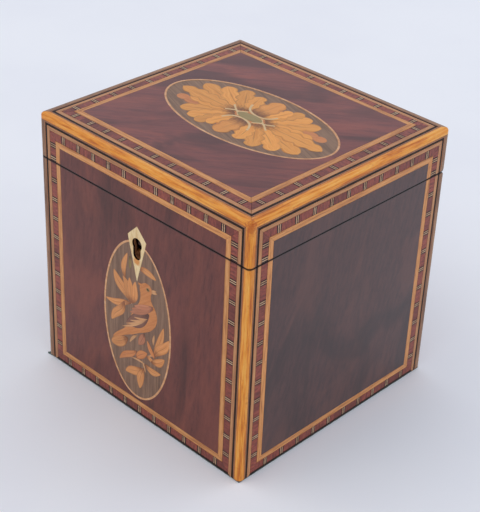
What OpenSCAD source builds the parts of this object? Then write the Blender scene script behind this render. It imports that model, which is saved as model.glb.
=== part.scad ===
// Tea caddy: a small cube-shaped box with a hinged lid, veneered all round,
// edged in boxwood, banded near its edges and inlaid with two oval panels.
// The front faces -Y, +Z is up, and the origin is the middle of the underside.

/* [Overall] */
// Width of the caddy, left to right
caddy_w = 120; // [96:1:160]
// Depth of the caddy, front to back
caddy_d = 116; // [94:1:160]
// Height of the caddy, baize to lid top
caddy_h = 121; // [98:1:160]
// Height of the lid, from the seam to its top
lid_h = 20; // [18:0.5:34]
// Open gap at the seam between body and lid
seam_gap = 0.4; // [0.2:0.05:0.8]

/* [Carcase] */
// Thickness of the wall boards and the lid rims
wall_t = 7; // [6.5:0.5:10]
// Thickness of the base board
base_t = 6; // [4:0.5:10]
// Thickness of the board in the lid's top
lid_top_t = 6; // [4:0.5:8]
// Thickness of the baize under the base
baize_t = 0.8; // [0.4:0.1:2]
// How far the baize stops short of the outside
baize_inset = 0.4; // [0:0.1:3]

/* [Veneer, edging and banding] */
// Thickness of the face veneers and the banding
veneer_t = 1; // [0.6:0.1:1.6]
// Size of the square edging let into the arrises
edging_w = 2.8; // [2:0.1:4]
// Radius that the edging's outer arris is eased to
edging_r = 1.6; // [0.4:0.1:1.6]
// Width of the thin pale line beside the edging
edge_line_w = 0.8; // [0.4:0.1:1.2]
// Width of the dark line
dark_line_w = 0.9; // [0.6:0.1:2]
// Width of the pale line outside the red banding
pale_line_w = 1.8; // [0.8:0.1:2.4]
// Width of the red cross-cut banding
red_band_w = 3.5; // [2:0.1:5]
// Width of the boxwood line around each field
box_line_w = 2.6; // [1.2:0.1:4]
// Width of the dark line along the foot of each wall
foot_line_w = 1; // [0.6:0.1:2]
// How far the field on the lid's top sits left of the middle
top_field_left = 0.8; // [-1:0.1:1]
// How far the field on the lid's top sits behind the middle
top_field_back = 0.8; // [-1:0.1:1]
// Glue line left open between mitred strips
mitre_gap = 0.05; // [0.02:0.01:0.1]

/* [Oval panels] */
// Width of the light line around both ovals
oval_line_w = 0.9; // [0.6:0.1:2]
// Depth that the marquetry is let into the oval grounds
inlay_t = 0.5; // [0.3:0.1:0.6]
// Width of the upright oval on the front
bird_oval_w = 40.6; // [32:0.2:56]
// Distance from the banding up to the foot of the front oval
bird_oval_foot = 1.2; // [0.5:0.1:10]
// Distance from the seam down to the top of the front oval
bird_oval_drop = 15.4; // [10:0.2:24]
// Sideways place of the front oval, the keyhole and the lock
motif_x = -1; // [-4:0.5:4]
// Room at each end of the oval on the lid
patera_end_room = 3.2; // [2:0.2:16]
// Room in front of and behind the oval on the lid
patera_side_room = 22.3; // [12:0.1:30]
// How far the lid's oval sits behind the middle
patera_back_shift = 2.6; // [-3:0.2:4]

/* [Escutcheon] */
// Width of the kite-shaped bone escutcheon
escutcheon_w = 11.1; // [9:0.1:14]
// Height of the escutcheon
escutcheon_h = 25.8; // [20:0.2:32]
// Height of the point above the escutcheon's shoulders
escutcheon_point_h = 5.6; // [4:0.2:7]
// Radius of the round head of the keyhole
keyhole_r = 2.8; // [2:0.1:3.4]
// Width of the keyhole's slot
keyhole_slot_w = 4.4; // [2:0.1:4.6]
// Length of the keyhole from its centre down to the slot's foot
keyhole_slot_h = 7; // [5:0.2:9]
// Depth of the keyhole's centre below the seam
keyhole_drop = 16.6; // [15:0.2:20]
// Height of the escutcheon's point above the keyhole's centre
escutcheon_rise = 8.4; // [7:0.2:10]

/* [Lock] */
// Width of the lock's plate
lock_w = 40; // [40:0.5:50]
// Height of the lock below the body's top edge
lock_h = 24; // [22:0.5:30]
// Depth that the lock is let into the front board
lock_depth = 6; // [5.8:0.1:6.2]
// Thickness of the lock's plate and its top edge strip
lock_plate_t = 1.2; // [1:0.1:1.4]
// Thickness of the lock case's rim and rails
lock_rim_t = 1; // [0.8:0.1:1.2]
// Thickness of the cap that closes the case
lock_cap_t = 0.6; // [0.4:0.1:0.8]
// Width of the fixing flange at each side of the case
lock_flange_w = 3; // [2.5:0.1:4]
// Radius of the pin that a hollow key turns on
drill_pin_r = 0.9; // [0.6:0.1:1.2]
// Distance of each link from the lock's middle
link_x = 8; // [8:0.1:9]
// Thickness of each link, across the lock
link_t = 1.6; // [1.2:0.1:1.8]
// Width of each link, front to back
link_w = 3; // [2.8:0.1:3.2]
// Length that each link hangs below the lid
link_drop = 7.4; // [7:0.1:8]
// Travel of the bolt
bolt_throw = 4; // [3.4:0.1:4.2]
// Thickness of the bolt
bolt_t = 1.2; // [1:0.1:1.2]
// Clearance around the bolt and the links
lock_clearance = 0.2; // [0.15:0.05:0.3]

/* [Hinges] */
// Length of each butt hinge
hinge_l = 22; // [16:1:28]
// Distance from the caddy's side to each hinge
hinge_inset = 14; // [10:1:16]
// Thickness of the hinge leaves
leaf_t = 1.2; // [0.8:0.1:1.4]
// Width of each leaf, from the pin forwards
leaf_w = 5.4; // [4.6:0.1:6]
// Radius of the hinge knuckle
knuckle_r = 1.8; // [1.5:0.1:2.2]
// Radius of the hinge pin
hinge_pin_r = 0.9; // [0.7:0.05:1]
// Running clearance around the pin in the lid's knuckles
pin_clearance = 0.05; // [0.02:0.01:0.1]
// Clearance at the ends of the knuckles and around them
knuckle_clearance = 0.2; // [0.1:0.05:0.4]
// Angle that the bevels behind the pin let the lid open to
lid_open_angle = 95; // [90:1:100]

/* [Screws] */
// Radius of the screw shanks
screw_r = 0.6; // [0.4:0.1:0.8]
// Radius of the countersunk screw heads
screw_head_r = 1.1; // [0.9:0.1:1.3]
// Height of the countersunk screw heads
screw_head_h = 0.6; // [0.4:0.1:0.8]
// Length of the hinge and link plate screws
screw_l = 5; // [4:0.5:6]
// Length of the lock's screws
lock_screw_l = 4; // [3:0.5:4.5]

/* [Inside] */
// Thickness of the foil lining
foil_t = 0.4; // [0.2:0.1:0.8]
// Depth of the inner lid's face below the body's top edge
inner_lid_drop = 12.8; // [12:0.2:20]
// Thickness of the inner lid
inner_lid_t = 4; // [3:0.5:6]
// Clearance all round the loose inner lid
inner_lid_clearance = 0.5; // [0.3:0.1:1]
// Thickness of the foil on the inner lid's underside
inner_foil_t = 0.3; // [0.2:0.1:0.5]
// Width of the fillets that the inner lid rests on
fillet_w = 3; // [2:0.5:5]
// Height of the fillets
fillet_h = 4; // [2:0.5:8]
// Radius of the knob's ball
knob_r = 3.9; // [3:0.1:5]
// Height of the knob above the inner lid
knob_h = 10; // [8.6:0.2:11.6]
// Radius of the knob's foot
knob_foot_r = 5.4; // [4:0.1:7]
// Height of the knob's foot
knob_foot_h = 1.2; // [0.8:0.1:2]
// Radius of the knob's neck and its peg
knob_neck_r = 1.9; // [1.2:0.1:2.5]

/* [Hidden] */
$fn = 48;

// How far a cutting shape runs past the face it cuts
past = 1;

// Heights
base_top = baize_t + base_t;
seam_z = caddy_h - lid_h;
body_top = seam_z - seam_gap / 2;
lid_bottom = seam_z + seam_gap / 2;
rim_top = caddy_h - veneer_t - lid_top_t;
edging_foot = caddy_h - edging_w;

// Half sizes: outside, boards' outer faces, boards' inner faces
half_w = caddy_w / 2;
half_d = caddy_d / 2;
board_x = half_w - veneer_t;
board_y = half_d - veneer_t;
inner_x = board_x - wall_t;
inner_y = board_y - wall_t;

// Banding: all the strips together, and those along the foot of a wall
band_w = edge_line_w + dark_line_w + pale_line_w + red_band_w + box_line_w;
foot_band_w = foot_line_w + red_band_w + box_line_w;
field_x = half_w - edging_w - band_w;
field_y = half_d - edging_w - band_w;
field_foot = baize_t + foot_band_w;
field_head = edging_foot - band_w;

// Ovals
bird_oval_lo = field_foot + bird_oval_foot;
bird_oval_hi = seam_z - bird_oval_drop;
bird_oval_z = (bird_oval_lo + bird_oval_hi) / 2;
bird_rx = bird_oval_w / 2;
bird_rz = (bird_oval_hi - bird_oval_lo) / 2;
patera_rx = field_x - patera_end_room;
patera_ry = field_y - patera_side_room;
patera_y = patera_back_shift;
oval_points = 96;
// The half sizes of the ovals that the marquetry is drawn for
bird_drawn_rx = 20.3;
bird_drawn_rz = 38.2;
patera_drawn_rx = 44.4;
patera_drawn_ry = 23.3;
bird_scale = min(bird_rx / bird_drawn_rx, bird_rz / bird_drawn_rz);
patera_scale = min(patera_rx / patera_drawn_rx, patera_ry / patera_drawn_ry);

// Keyhole and lock
keyhole_z = seam_z - keyhole_drop;
escutcheon_top = keyhole_z + escutcheon_rise;
lock_foot = body_top - lock_h;
case_half_w = lock_w / 2 - lock_flange_w;
case_y = -inner_y - lock_depth;
case_y_in = case_y + lock_cap_t;
plate_y = -inner_y - lock_plate_t;
case_mid_y = (case_y_in + plate_y) / 2;
case_top = body_top - lock_plate_t;
pin_front_gap = 1.6;
pin_tip_y = -half_d + pin_front_gap;
link_foot = lid_bottom - link_drop;
link_wall = 0.7;
eye_lo = link_foot + 1.2;
eye_hi = eye_lo + 2.4;
nose_lo = eye_lo + lock_clearance;
nose_hi = eye_hi - lock_clearance;
nose_l = bolt_throw + lock_clearance;
nose_post_w = 1.4;
nose_tip_gap = 2 * lock_clearance;
bolt_bar_top = link_foot - 2 * lock_clearance;
bolt_bar_h = 3.6;
bolt_bar_foot = bolt_bar_top - bolt_bar_h;
bolt_tail = nose_tip_gap + nose_l + nose_post_w + link_t / 2;
bolt_bar_l = 2 * link_x + bolt_throw - 1;
talon_w = 5;
talon_h = 1.6;
rail_gap = 6;
spring_t = 0.4;
spring_foot_l = 2.2;
spring_w = 1;
lock_screw_inset = 5;
link_plate_w = 32;
link_plate_d = 6;
link_plate_t = 1.4;
link_screw_x = 12.5;

// Hinges
axis_y = half_d - knuckle_r;
axis_z = seam_z;
hinge_x = half_w - hinge_inset - hinge_l / 2;
knuckles = 5;
knuckle_l = hinge_l / knuckles;
bevel_angle = lid_open_angle / 2;
bevel_reach = knuckle_r + past;
bevel_rise = bevel_reach * tan(bevel_angle);
hinge_screw_x = 7;
hinge_screw_y = axis_y - 3.6;

// Inside
inner_lid_top = body_top - inner_lid_drop;
fillet_top = inner_lid_top - inner_lid_t - inner_foil_t;
fillet_foot = fillet_top - fillet_h;
foil_x = inner_x - foil_t;
foil_y = inner_y - foil_t;
inner_lid_x = inner_x - inner_lid_clearance;
inner_lid_y = inner_y - inner_lid_clearance;

// Colours
mahogany = [0.27, 0.13, 0.11];
carcase_wood = [0.45, 0.27, 0.16];
boxwood = [0.84, 0.55, 0.22];
banding_red = [0.42, 0.16, 0.17];
harewood = [0.42, 0.35, 0.31];
satinwood = [0.78, 0.47, 0.26];
light_line = [0.80, 0.62, 0.50];
bone = [0.86, 0.79, 0.60];
brass = [0.76, 0.60, 0.30];
steel = [0.45, 0.45, 0.47];
tin = [0.62, 0.63, 0.64];
baize_green = [0.10, 0.20, 0.13];

// ---- Shapes ----

// Box between two corners given as [low, high] pairs
module block(x, y, z) {
  translate([x[0], y[0], z[0]]) cube([x[1] - x[0], y[1] - y[0], z[1] - z[0]]);
}

// Lays a flat drawing (across, up) into a wall's veneer layer.
// turn is 0 front, 90 right, 180 back, 270 left
module in_wall(turn, reach, depth = veneer_t) {
  rotate([0, 0, turn]) translate([0, depth - reach, 0]) rotate([90, 0, 0])
    linear_extrude(depth) children();
}

// Lays a flat drawing into the lid's top veneer layer
module in_top(depth = veneer_t) {
  translate([0, 0, caddy_h - depth]) linear_extrude(depth) children();
}

function oval(rx, ry) =
  [for (i = [0 : oval_points - 1]) [rx * cos(360 * i / oval_points), ry * sin(360 * i / oval_points)]];

// Outline of a leaf from its foot a to its tip b: w wide, with its middle line bowed sideways
leaf_steps = 10;
function leaf_side(a, b, w, bow, t, side) =
  let (along = b - a, across = [-along[1], along[0]] / norm(along))
  a + along * t + across * (bow * sin(180 * t) + side * w / 2 * pow(sin(180 * t), 0.85));
function leaf(a, b, w, bow = 0) = concat(
  [for (i = [0 : leaf_steps]) leaf_side(a, b, w, bow, i / leaf_steps, -1)],
  [for (i = [leaf_steps - 1 : -1 : 1]) leaf_side(a, b, w, bow, i / leaf_steps, 1)]
);

// Section of the edging, its outer arris at the origin, eased by edging_r
arris_steps = 6;
function edging_section() = concat(
  [[-edging_w, -edging_w], [0, -edging_w]],
  [for (i = [0 : arris_steps])
    edging_r * [cos(90 * i / arris_steps) - 1, sin(90 * i / arris_steps) - 1]],
  [[-edging_w, 0]]
);

// Plan of the caddy with its corners eased
function eased_plan() = [for (q = [0 : 3], i = [0 : arris_steps])
  let (a = 90 * q + 90 * i / arris_steps,
       sx = (q == 0 || q == 3) ? 1 : -1,
       sy = (q == 0 || q == 1) ? 1 : -1)
  [sx * (half_w - edging_r) + edging_r * cos(a), sy * (half_d - edging_r) + edging_r * sin(a)]];

// Four upright corner strips between two heights
module corner_strips(lo, hi) {
  for (sx = [0, 1], sy = [0, 1])
    mirror([sx, 0, 0]) mirror([0, sy, 0]) translate([half_w, half_d, lo])
      linear_extrude(hi - lo) polygon(edging_section());
}

// The square rebates that the corner strips are glued into
module corner_rebates(lo, hi) {
  for (sx = [0, 1], sy = [0, 1])
    mirror([sx, 0, 0]) mirror([0, sy, 0])
      block([half_w - edging_w, half_w + past], [half_d - edging_w, half_d + past], [lo - past, hi + past]);
}

// The rebate around the lid's top for the edging
module top_rebate() {
  difference() {
    block([-half_w - past, half_w + past], [-half_d - past, half_d + past], [edging_foot, caddy_h + past]);
    block([edging_w - half_w, half_w - edging_w], [edging_w - half_d, half_d - edging_w],
          [edging_foot - past, caddy_h + 2 * past]);
  }
}

// Countersunk screw, its head flush with z = 0, pointing down
module screw(l) {
  translate([0, 0, -screw_head_h]) cylinder(r1 = screw_r, r2 = screw_head_r, h = screw_head_h);
  translate([0, 0, -l]) cylinder(r = screw_r, h = l - screw_head_h);
}

// The V behind the hinge pin that lets the lid open, and the bed of the knuckles
module back_clearance() {
  rotate([90, 0, 90]) translate([0, 0, -half_w - past]) linear_extrude(caddy_w + 2 * past)
    polygon([[axis_y, body_top], [axis_y + bevel_reach, body_top - bevel_rise],
             [axis_y + bevel_reach, lid_bottom + bevel_rise], [axis_y, lid_bottom]]);
  for (s = [-1, 1])
    knuckle_rod(s * hinge_x - hinge_l / 2 - knuckle_clearance, hinge_l + 2 * knuckle_clearance,
                knuckle_r + knuckle_clearance);
}

// Round bar along the hinge axis from x, l long
module knuckle_rod(x, l, r) {
  translate([x, axis_y, axis_z]) rotate([0, 90, 0]) cylinder(r = r, h = l);
}

// ---- Walls of the body ----

module front_board() {
  color(carcase_wood) difference() {
    block([-board_x, board_x], [-board_y, -inner_y], [base_top, body_top]);
    corner_rebates(base_top, body_top);
    lock_bed();
    translate([motif_x, 0, keyhole_z]) keyhole_cut();
    lock_screw_set();
  }
}

// Room in the front board for the lock: the case, its flanges and the top strip
module lock_bed() {
  translate([motif_x, 0, 0]) {
    block([-case_half_w, case_half_w], [case_y, -inner_y + past], [lock_foot + lock_flange_w, body_top + past]);
    block([-lock_w / 2, lock_w / 2], [plate_y, -inner_y + past], [lock_foot, body_top + past]);
    block([-lock_w / 2, lock_w / 2], [case_y, -inner_y + past], [case_top, body_top + past]);
  }
}

module back_board() {
  color(carcase_wood) difference() {
    block([-board_x, board_x], [inner_y, board_y], [base_top, body_top]);
    corner_rebates(base_top, body_top);
    back_clearance();
    body_leaf_beds();
    hinge_screw_set(body_top, 1);
  }
}

module side_board(side) {
  color(carcase_wood) mirror([side < 0 ? 1 : 0, 0, 0])
    block([inner_x, board_x], [-inner_y, inner_y], [base_top, body_top]);
}

module left_board() {
  side_board(-1);
}

module right_board() {
  side_board(1);
}

module base_board() {
  color(carcase_wood) difference() {
    block([-board_x, board_x], [-board_y, board_y], [baize_t, base_top]);
    corner_rebates(baize_t, base_top);
  }
}

module base_baize() {
  color(baize_green)
    block([baize_inset - half_w, half_w - baize_inset], [baize_inset - half_d, half_d - baize_inset], [0, baize_t]);
}

// ---- Veneers of the body ----

module wall_field(half) {
  translate([-half, field_foot]) square([2 * half, body_top - field_foot]);
}

module front_veneer() {
  color(mahogany) difference() {
    in_wall(0, half_d) wall_field(field_x);
    in_wall(0, half_d) translate([motif_x, bird_oval_z]) polygon(oval(bird_rx, bird_rz));
    escutcheon_cut();
  }
}

module back_veneer() {
  color(mahogany) difference() {
    in_wall(180, half_d) wall_field(field_x);
    back_clearance();
  }
}

module left_veneer() {
  color(mahogany) in_wall(270, half_w) wall_field(field_y);
}

module right_veneer() {
  color(mahogany) in_wall(90, half_w) wall_field(field_y);
}

// Three mitred strips around a body wall's field, which is 2 * half wide
module body_bands(half) {
  for (side = [-1, 1])
    polygon([[side * (half + band_w), baize_t], [side * (half + band_w), body_top], [side * half, body_top],
             [side * half, field_foot], [side * (half + foot_band_w), baize_t]]);
  polygon([[mitre_gap - half - foot_band_w, baize_t], [half + foot_band_w - mitre_gap, baize_t],
           [half - mitre_gap, field_foot], [mitre_gap - half, field_foot]]);
}

module front_banding() {
  color(banding_red) in_wall(0, half_d) body_bands(field_x);
}

module back_banding() {
  color(banding_red) difference() {
    in_wall(180, half_d) body_bands(field_x);
    back_clearance();
  }
}

module left_banding() {
  color(banding_red) in_wall(270, half_w) body_bands(field_y);
}

module right_banding() {
  color(banding_red) in_wall(90, half_w) body_bands(field_y);
}

module body_corner_edging() {
  color(boxwood) difference() {
    corner_strips(baize_t, body_top);
    back_clearance();
  }
}

// ---- The oval with the bird ----

module bird_oval_ground() {
  color(harewood) difference() {
    in_wall(0, half_d) translate([motif_x, bird_oval_z])
      polygon(oval(bird_rx - oval_line_w, bird_rz - oval_line_w));
    in_wall(0, half_d, inlay_t) bird_drawing();
    escutcheon_cut();
  }
}

module bird_oval_line() {
  color(light_line) difference() {
    in_wall(0, half_d) translate([motif_x, bird_oval_z]) difference() {
      polygon(oval(bird_rx, bird_rz));
      polygon(oval(bird_rx - oval_line_w, bird_rz - oval_line_w));
    }
    escutcheon_cut();
  }
}

module bird_marquetry() {
  color(satinwood) difference() {
    in_wall(0, half_d, inlay_t) bird_drawing();
    escutcheon_cut();
  }
}

// Outline of the bird, from its crest round the breast, tail and back
bird_outline = [
  [1.1, 19.4], [2.9, 20.6], [6.1, 21.1], [8.4, 20.2], [10.8, 20.3], [9.1, 18.9], [11.8, 19.3], [8.8, 17.2],
  [8.4, 14], [10.9, 11.1], [12, 7.7], [11.6, 3.8], [9.5, 0.6], [6.1, -2.5], [2.5, -5.3], [-1.2, -8.2],
  [-4.4, -12.3], [-3.5, -7.4], [-7.1, -10], [-15.2, -14.7], [-11.6, -10], [-8, -6.2], [-10.5, -7],
  [-5.7, -0.9], [-3, 4.3], [-1.6, 7], [2.4, 9.5], [2.3, 12.2], [3, 15.4], [2.5, 17.2]
];

// Leaves around the bird: foot, tip, width and bow
bird_leaves = [
  [[1.2, 25.7], [10.9, 25.4], 2.8, -0.8],
  [[-7.4, 19.8], [-6.2, 30], 2.7, 0],
  [[-6.2, 9.4], [-14, 18.6], 3.4, 0.6],
  [[-4.7, 10], [-6.9, 17.8], 2.6, 0.4],
  [[-3.6, 10], [-1.6, 17.4], 2.4, -0.5],
  [[-5.3, 7.2], [-18.2, 2.8], 2.6, 0.4],
  [[-8.2, 4.6], [-15.2, -6.4], 3.4, 0.4],
  [[-6.3, -12.2], [-15.1, -17.4], 3.8, 0],
  [[-1.4, -15.8], [-9.4, -22.8], 2.8, 0],
  [[7.8, -15], [-0.4, -17.8], 2.4, 0],
  [[9, -15.4], [16.2, -10.6], 3, -0.6],
  [[4.6, -19.6], [13.6, -19.2], 2.6, -0.9],
  [[2.4, -22.6], [-6.4, -28], 3.2, -0.3],
  [[4.3, -23.2], [1.8, -32.4], 3.3, -0.3],
  [[12.2, -4.4], [15.3, 4.2], 2.4, 0],
  [[12.9, -8.6], [18, 0.2], 3, 0],
  [[10.3, -11.4], [6.6, -7], 1.6, 0.4]
];

module bird_drawing() {
  translate([motif_x, bird_oval_z]) scale(bird_scale) {
    polygon(bird_outline);
    for (l = bird_leaves)
      polygon(leaf(l[0], l[1], l[2], l[3]));
  }
}

// ---- Escutcheon and lock ----

function kite() = [
  [0, escutcheon_rise], [escutcheon_w / 2, escutcheon_rise - escutcheon_point_h],
  [0, escutcheon_rise - escutcheon_h], [-escutcheon_w / 2, escutcheon_rise - escutcheon_point_h]
];

module escutcheon_cut() {
  in_wall(0, half_d) translate([motif_x, keyhole_z]) polygon(kite());
}

// Round-headed keyhole with a straight slot, centred on its head
module keyhole() {
  circle(r = keyhole_r);
  translate([-keyhole_slot_w / 2, keyhole_slot_w / 2 - keyhole_slot_h])
    square([keyhole_slot_w, keyhole_slot_h - keyhole_slot_w / 2]);
  translate([0, keyhole_slot_w / 2 - keyhole_slot_h]) circle(d = keyhole_slot_w);
}

// The keyhole cut right through the skin of wood in front of the lock
module keyhole_cut() {
  translate([0, case_y + past, 0]) rotate([90, 0, 0]) linear_extrude(half_d + case_y + 2 * past) keyhole();
}

module escutcheon() {
  color(bone) in_wall(0, half_d) translate([motif_x, keyhole_z]) difference() {
    polygon(kite());
    keyhole();
  }
}

module lock_case() {
  color(brass) difference() {
    translate([motif_x, 0, 0]) difference() {
      union() {
        block([-lock_w / 2, lock_w / 2], [plate_y, -inner_y], [lock_foot, body_top]);
        block([-lock_w / 2, lock_w / 2], [case_y, -inner_y], [case_top, body_top]);
        block([-case_half_w, case_half_w], [case_y_in, -inner_y], [lock_foot + lock_flange_w, body_top]);
      }
      block([lock_rim_t - case_half_w, case_half_w - lock_rim_t], [case_y_in - past, plate_y],
            [lock_foot + lock_flange_w + lock_rim_t, bolt_bar_foot - lock_rim_t - lock_clearance]);
      block([-rail_gap, rail_gap], [case_y_in - past, plate_y], [lock_foot + 2 * lock_flange_w, case_top]);
      block([lock_rim_t - case_half_w, case_half_w - lock_rim_t], [case_y_in - past, plate_y],
            [bolt_bar_foot - lock_clearance, case_top]);
      for (s = [-1, 1])
        link_slot(s * link_x);
      translate([0, -inner_y + past, keyhole_z]) rotate([90, 0, 0])
        cylinder(r = drill_pin_r, h = lock_plate_t + 2 * past);
    }
    lock_screw_set();
  }
}

// Slot in the lock's top strip for one link
module link_slot(x) {
  block([x - link_t / 2 - 2 * lock_clearance, x + link_t / 2 + 2 * lock_clearance],
        [case_mid_y - link_w / 2 - 2 * lock_clearance, case_mid_y + link_w / 2 + 2 * lock_clearance],
        [case_top - past, body_top + past]);
}

module lock_cap() {
  color(brass) translate([motif_x, 0, 0]) difference() {
    block([-case_half_w, case_half_w], [case_y, case_y_in], [lock_foot + lock_flange_w, case_top]);
    translate([0, 0, keyhole_z]) keyhole_cut();
  }
}

module lock_drill_pin() {
  color(steel) translate([motif_x, -inner_y, keyhole_z]) rotate([90, 0, 0])
    cylinder(r = drill_pin_r, h = -inner_y - pin_tip_y);
}

// The lock's four screws, through the flanges from inside the box
module lock_screw_set() {
  for (s = [-1, 1], z = [lock_foot + lock_screw_inset, case_top - lock_screw_inset])
    translate([motif_x + s * (lock_w - lock_flange_w) / 2, -inner_y, z]) rotate([-90, 0, 0]) screw(lock_screw_l);
}

module lock_screws() {
  color(steel) lock_screw_set();
}

// Bolt: a bar with two hooked noses that slide through the links' eyes
module lock_bolt() {
  bar_start = -link_x - bolt_tail;
  color(brass) translate([motif_x, case_mid_y + bolt_t / 2, 0]) rotate([90, 0, 0]) linear_extrude(bolt_t)
    difference() {
      union() {
        translate([bar_start, bolt_bar_foot]) square([bolt_bar_l + bolt_tail - link_x, bolt_bar_h]);
        for (s = [-1, 1])
          translate([s * link_x - bolt_tail, bolt_bar_foot]) {
            square([nose_post_w, nose_hi - bolt_bar_foot]);
            translate([0, nose_lo - bolt_bar_foot]) square([nose_post_w + nose_l, nose_hi - nose_lo]);
          }
      }
      translate([-talon_w / 2, bolt_bar_foot - past]) square([talon_w, talon_h + past]);
    }
}

// Bent strip on the bolt that presses up against the case and holds the bolt where it is put
module bolt_spring() {
  start = -link_x + link_t / 2 + lock_clearance;
  tip = link_x - bolt_tail - lock_clearance;
  tip_z = case_top - lock_clearance;
  color(steel) translate([motif_x, case_mid_y + spring_w / 2, 0]) rotate([90, 0, 0]) linear_extrude(spring_w)
    polygon([[start, bolt_bar_top], [start + spring_foot_l, bolt_bar_top], [tip, tip_z - spring_t],
             [tip, tip_z], [start + spring_foot_l - spring_t, bolt_bar_top + spring_t],
             [start, bolt_bar_top + spring_t]]);
}

// ---- Hinges ----

function knuckle_start(i) = i * knuckle_l - hinge_l / 2;

// Knuckles of one leaf, every second one from the first given
module leaf_knuckles(first, r, grow) {
  for (i = [first : 2 : knuckles - 1])
    knuckle_rod(knuckle_start(i) + (i > 0 ? knuckle_clearance / 2 : 0) - grow,
                knuckle_l - (i > 0 ? knuckle_clearance / 2 : 0)
                - (i < knuckles - 1 ? knuckle_clearance / 2 : 0) + 2 * grow, r);
}

// One leaf: level 0 is let into the body's edge, 1 into the lid's
module hinge_leaf(side, level) {
  flat_z = level == 0 ? [body_top - leaf_t, body_top] : [lid_bottom, lid_bottom + leaf_t];
  color(brass) difference() {
    translate([side * hinge_x, 0, 0]) difference() {
      union() {
        block([-hinge_l / 2, hinge_l / 2], [axis_y - leaf_w, axis_y], flat_z);
        leaf_knuckles(level, knuckle_r, 0);
      }
      leaf_knuckles(1 - level, knuckle_r + knuckle_clearance, knuckle_clearance);
      knuckle_rod(-hinge_l / 2 - past, hinge_l + 2 * past, hinge_pin_r + level * pin_clearance);
    }
    hinge_screw_set(level == 0 ? body_top : lid_bottom, level == 0 ? 1 : -1);
  }
}

module hinge_left_body_leaf() {
  hinge_leaf(-1, 0);
}

module hinge_right_body_leaf() {
  hinge_leaf(1, 0);
}

module hinge_left_lid_leaf() {
  hinge_leaf(-1, 1);
}

module hinge_right_lid_leaf() {
  hinge_leaf(1, 1);
}

module hinge_pin(side) {
  color(steel) translate([side * hinge_x, 0, 0]) knuckle_rod(-hinge_l / 2, hinge_l, hinge_pin_r);
}

module hinge_left_pin() {
  hinge_pin(-1);
}

module hinge_right_pin() {
  hinge_pin(1);
}

// Shallow beds for the flat parts of the leaves
module leaf_beds(z) {
  for (s = [-1, 1])
    block([s * hinge_x - hinge_l / 2, s * hinge_x + hinge_l / 2], [axis_y - leaf_w, axis_y], z);
}

module body_leaf_beds() {
  leaf_beds([body_top - leaf_t, body_top + past]);
}

module lid_leaf_beds() {
  leaf_beds([lid_bottom - past, lid_bottom + leaf_t]);
}

// Four screws, two to a leaf: heads at height z, up is 1 for points down and -1 for points up
module hinge_screw_set(z, up) {
  for (s = [-1, 1], t = [-1, 1])
    translate([s * hinge_x + t * hinge_screw_x, hinge_screw_y, z]) mirror([0, 0, up > 0 ? 0 : 1]) screw(screw_l);
}

module hinge_body_screws() {
  color(steel) hinge_screw_set(body_top, 1);
}

module hinge_lid_screws() {
  color(steel) hinge_screw_set(lid_bottom, -1);
}

// ---- Inside the box ----

module foil_lining() {
  color(tin) difference() {
    block([-inner_x, inner_x], [-inner_y, inner_y], [base_top, fillet_top]);
    block([-foil_x, foil_x], [-foil_y, foil_y], [base_top + foil_t, fillet_top + past]);
  }
}

module ledge_fillets() {
  side_y = foil_y - fillet_w - mitre_gap;
  color(carcase_wood) {
    for (s = [0, 1])
      mirror([0, s, 0]) block([-foil_x, foil_x], [foil_y - fillet_w, foil_y], [fillet_foot, fillet_top]);
    for (s = [0, 1])
      mirror([s, 0, 0]) block([foil_x - fillet_w, foil_x], [-side_y, side_y], [fillet_foot, fillet_top]);
  }
}

module inner_lid_board() {
  color(mahogany) difference() {
    block([-inner_lid_x, inner_lid_x], [-inner_lid_y, inner_lid_y], [inner_lid_top - inner_lid_t, inner_lid_top]);
    translate([0, 0, inner_lid_top - inner_lid_t - past]) cylinder(r = knob_neck_r, h = inner_lid_t + 2 * past);
  }
}

module inner_lid_foil() {
  color(tin) block([-inner_lid_x, inner_lid_x], [-inner_lid_y, inner_lid_y], [fillet_top, fillet_top + inner_foil_t]);
}

module inner_lid_knob() {
  color(bone) translate([0, 0, inner_lid_top]) {
    translate([0, 0, -inner_lid_t]) cylinder(r = knob_neck_r, h = inner_lid_t + knob_h - knob_r);
    cylinder(r = knob_foot_r, h = knob_foot_h / 2);
    translate([0, 0, knob_foot_h / 2]) cylinder(r1 = knob_foot_r, r2 = knob_neck_r, h = knob_foot_h / 2);
    translate([0, 0, knob_h - knob_r]) sphere(r = knob_r);
  }
}

// ---- Lid ----

module lid_top_board() {
  color(carcase_wood) difference() {
    block([-board_x, board_x], [-board_y, board_y], [rim_top, caddy_h - veneer_t]);
    top_rebate();
    corner_rebates(rim_top, edging_foot);
  }
}

module lid_front_rim() {
  color(carcase_wood) difference() {
    block([-board_x, board_x], [-board_y, -inner_y], [lid_bottom, rim_top]);
    corner_rebates(lid_bottom, rim_top);
    link_plate_flat();
    link_screw_set();
  }
}

module lid_back_rim() {
  color(carcase_wood) difference() {
    block([-board_x, board_x], [inner_y, board_y], [lid_bottom, rim_top]);
    corner_rebates(lid_bottom, rim_top);
    back_clearance();
    lid_leaf_beds();
    hinge_screw_set(lid_bottom, -1);
  }
}

module lid_side_rim(side) {
  color(carcase_wood) mirror([side < 0 ? 1 : 0, 0, 0])
    block([inner_x, board_x], [-inner_y, inner_y], [lid_bottom, rim_top]);
}

module lid_left_rim() {
  lid_side_rim(-1);
}

module lid_right_rim() {
  lid_side_rim(1);
}

module lid_field(half) {
  translate([-half, lid_bottom]) square([2 * half, field_head - lid_bottom]);
}

module lid_front_veneer() {
  color(mahogany) in_wall(0, half_d) lid_field(field_x);
}

module lid_back_veneer() {
  color(mahogany) difference() {
    in_wall(180, half_d) lid_field(field_x);
    back_clearance();
  }
}

module lid_left_veneer() {
  color(mahogany) in_wall(270, half_w) lid_field(field_y);
}

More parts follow.
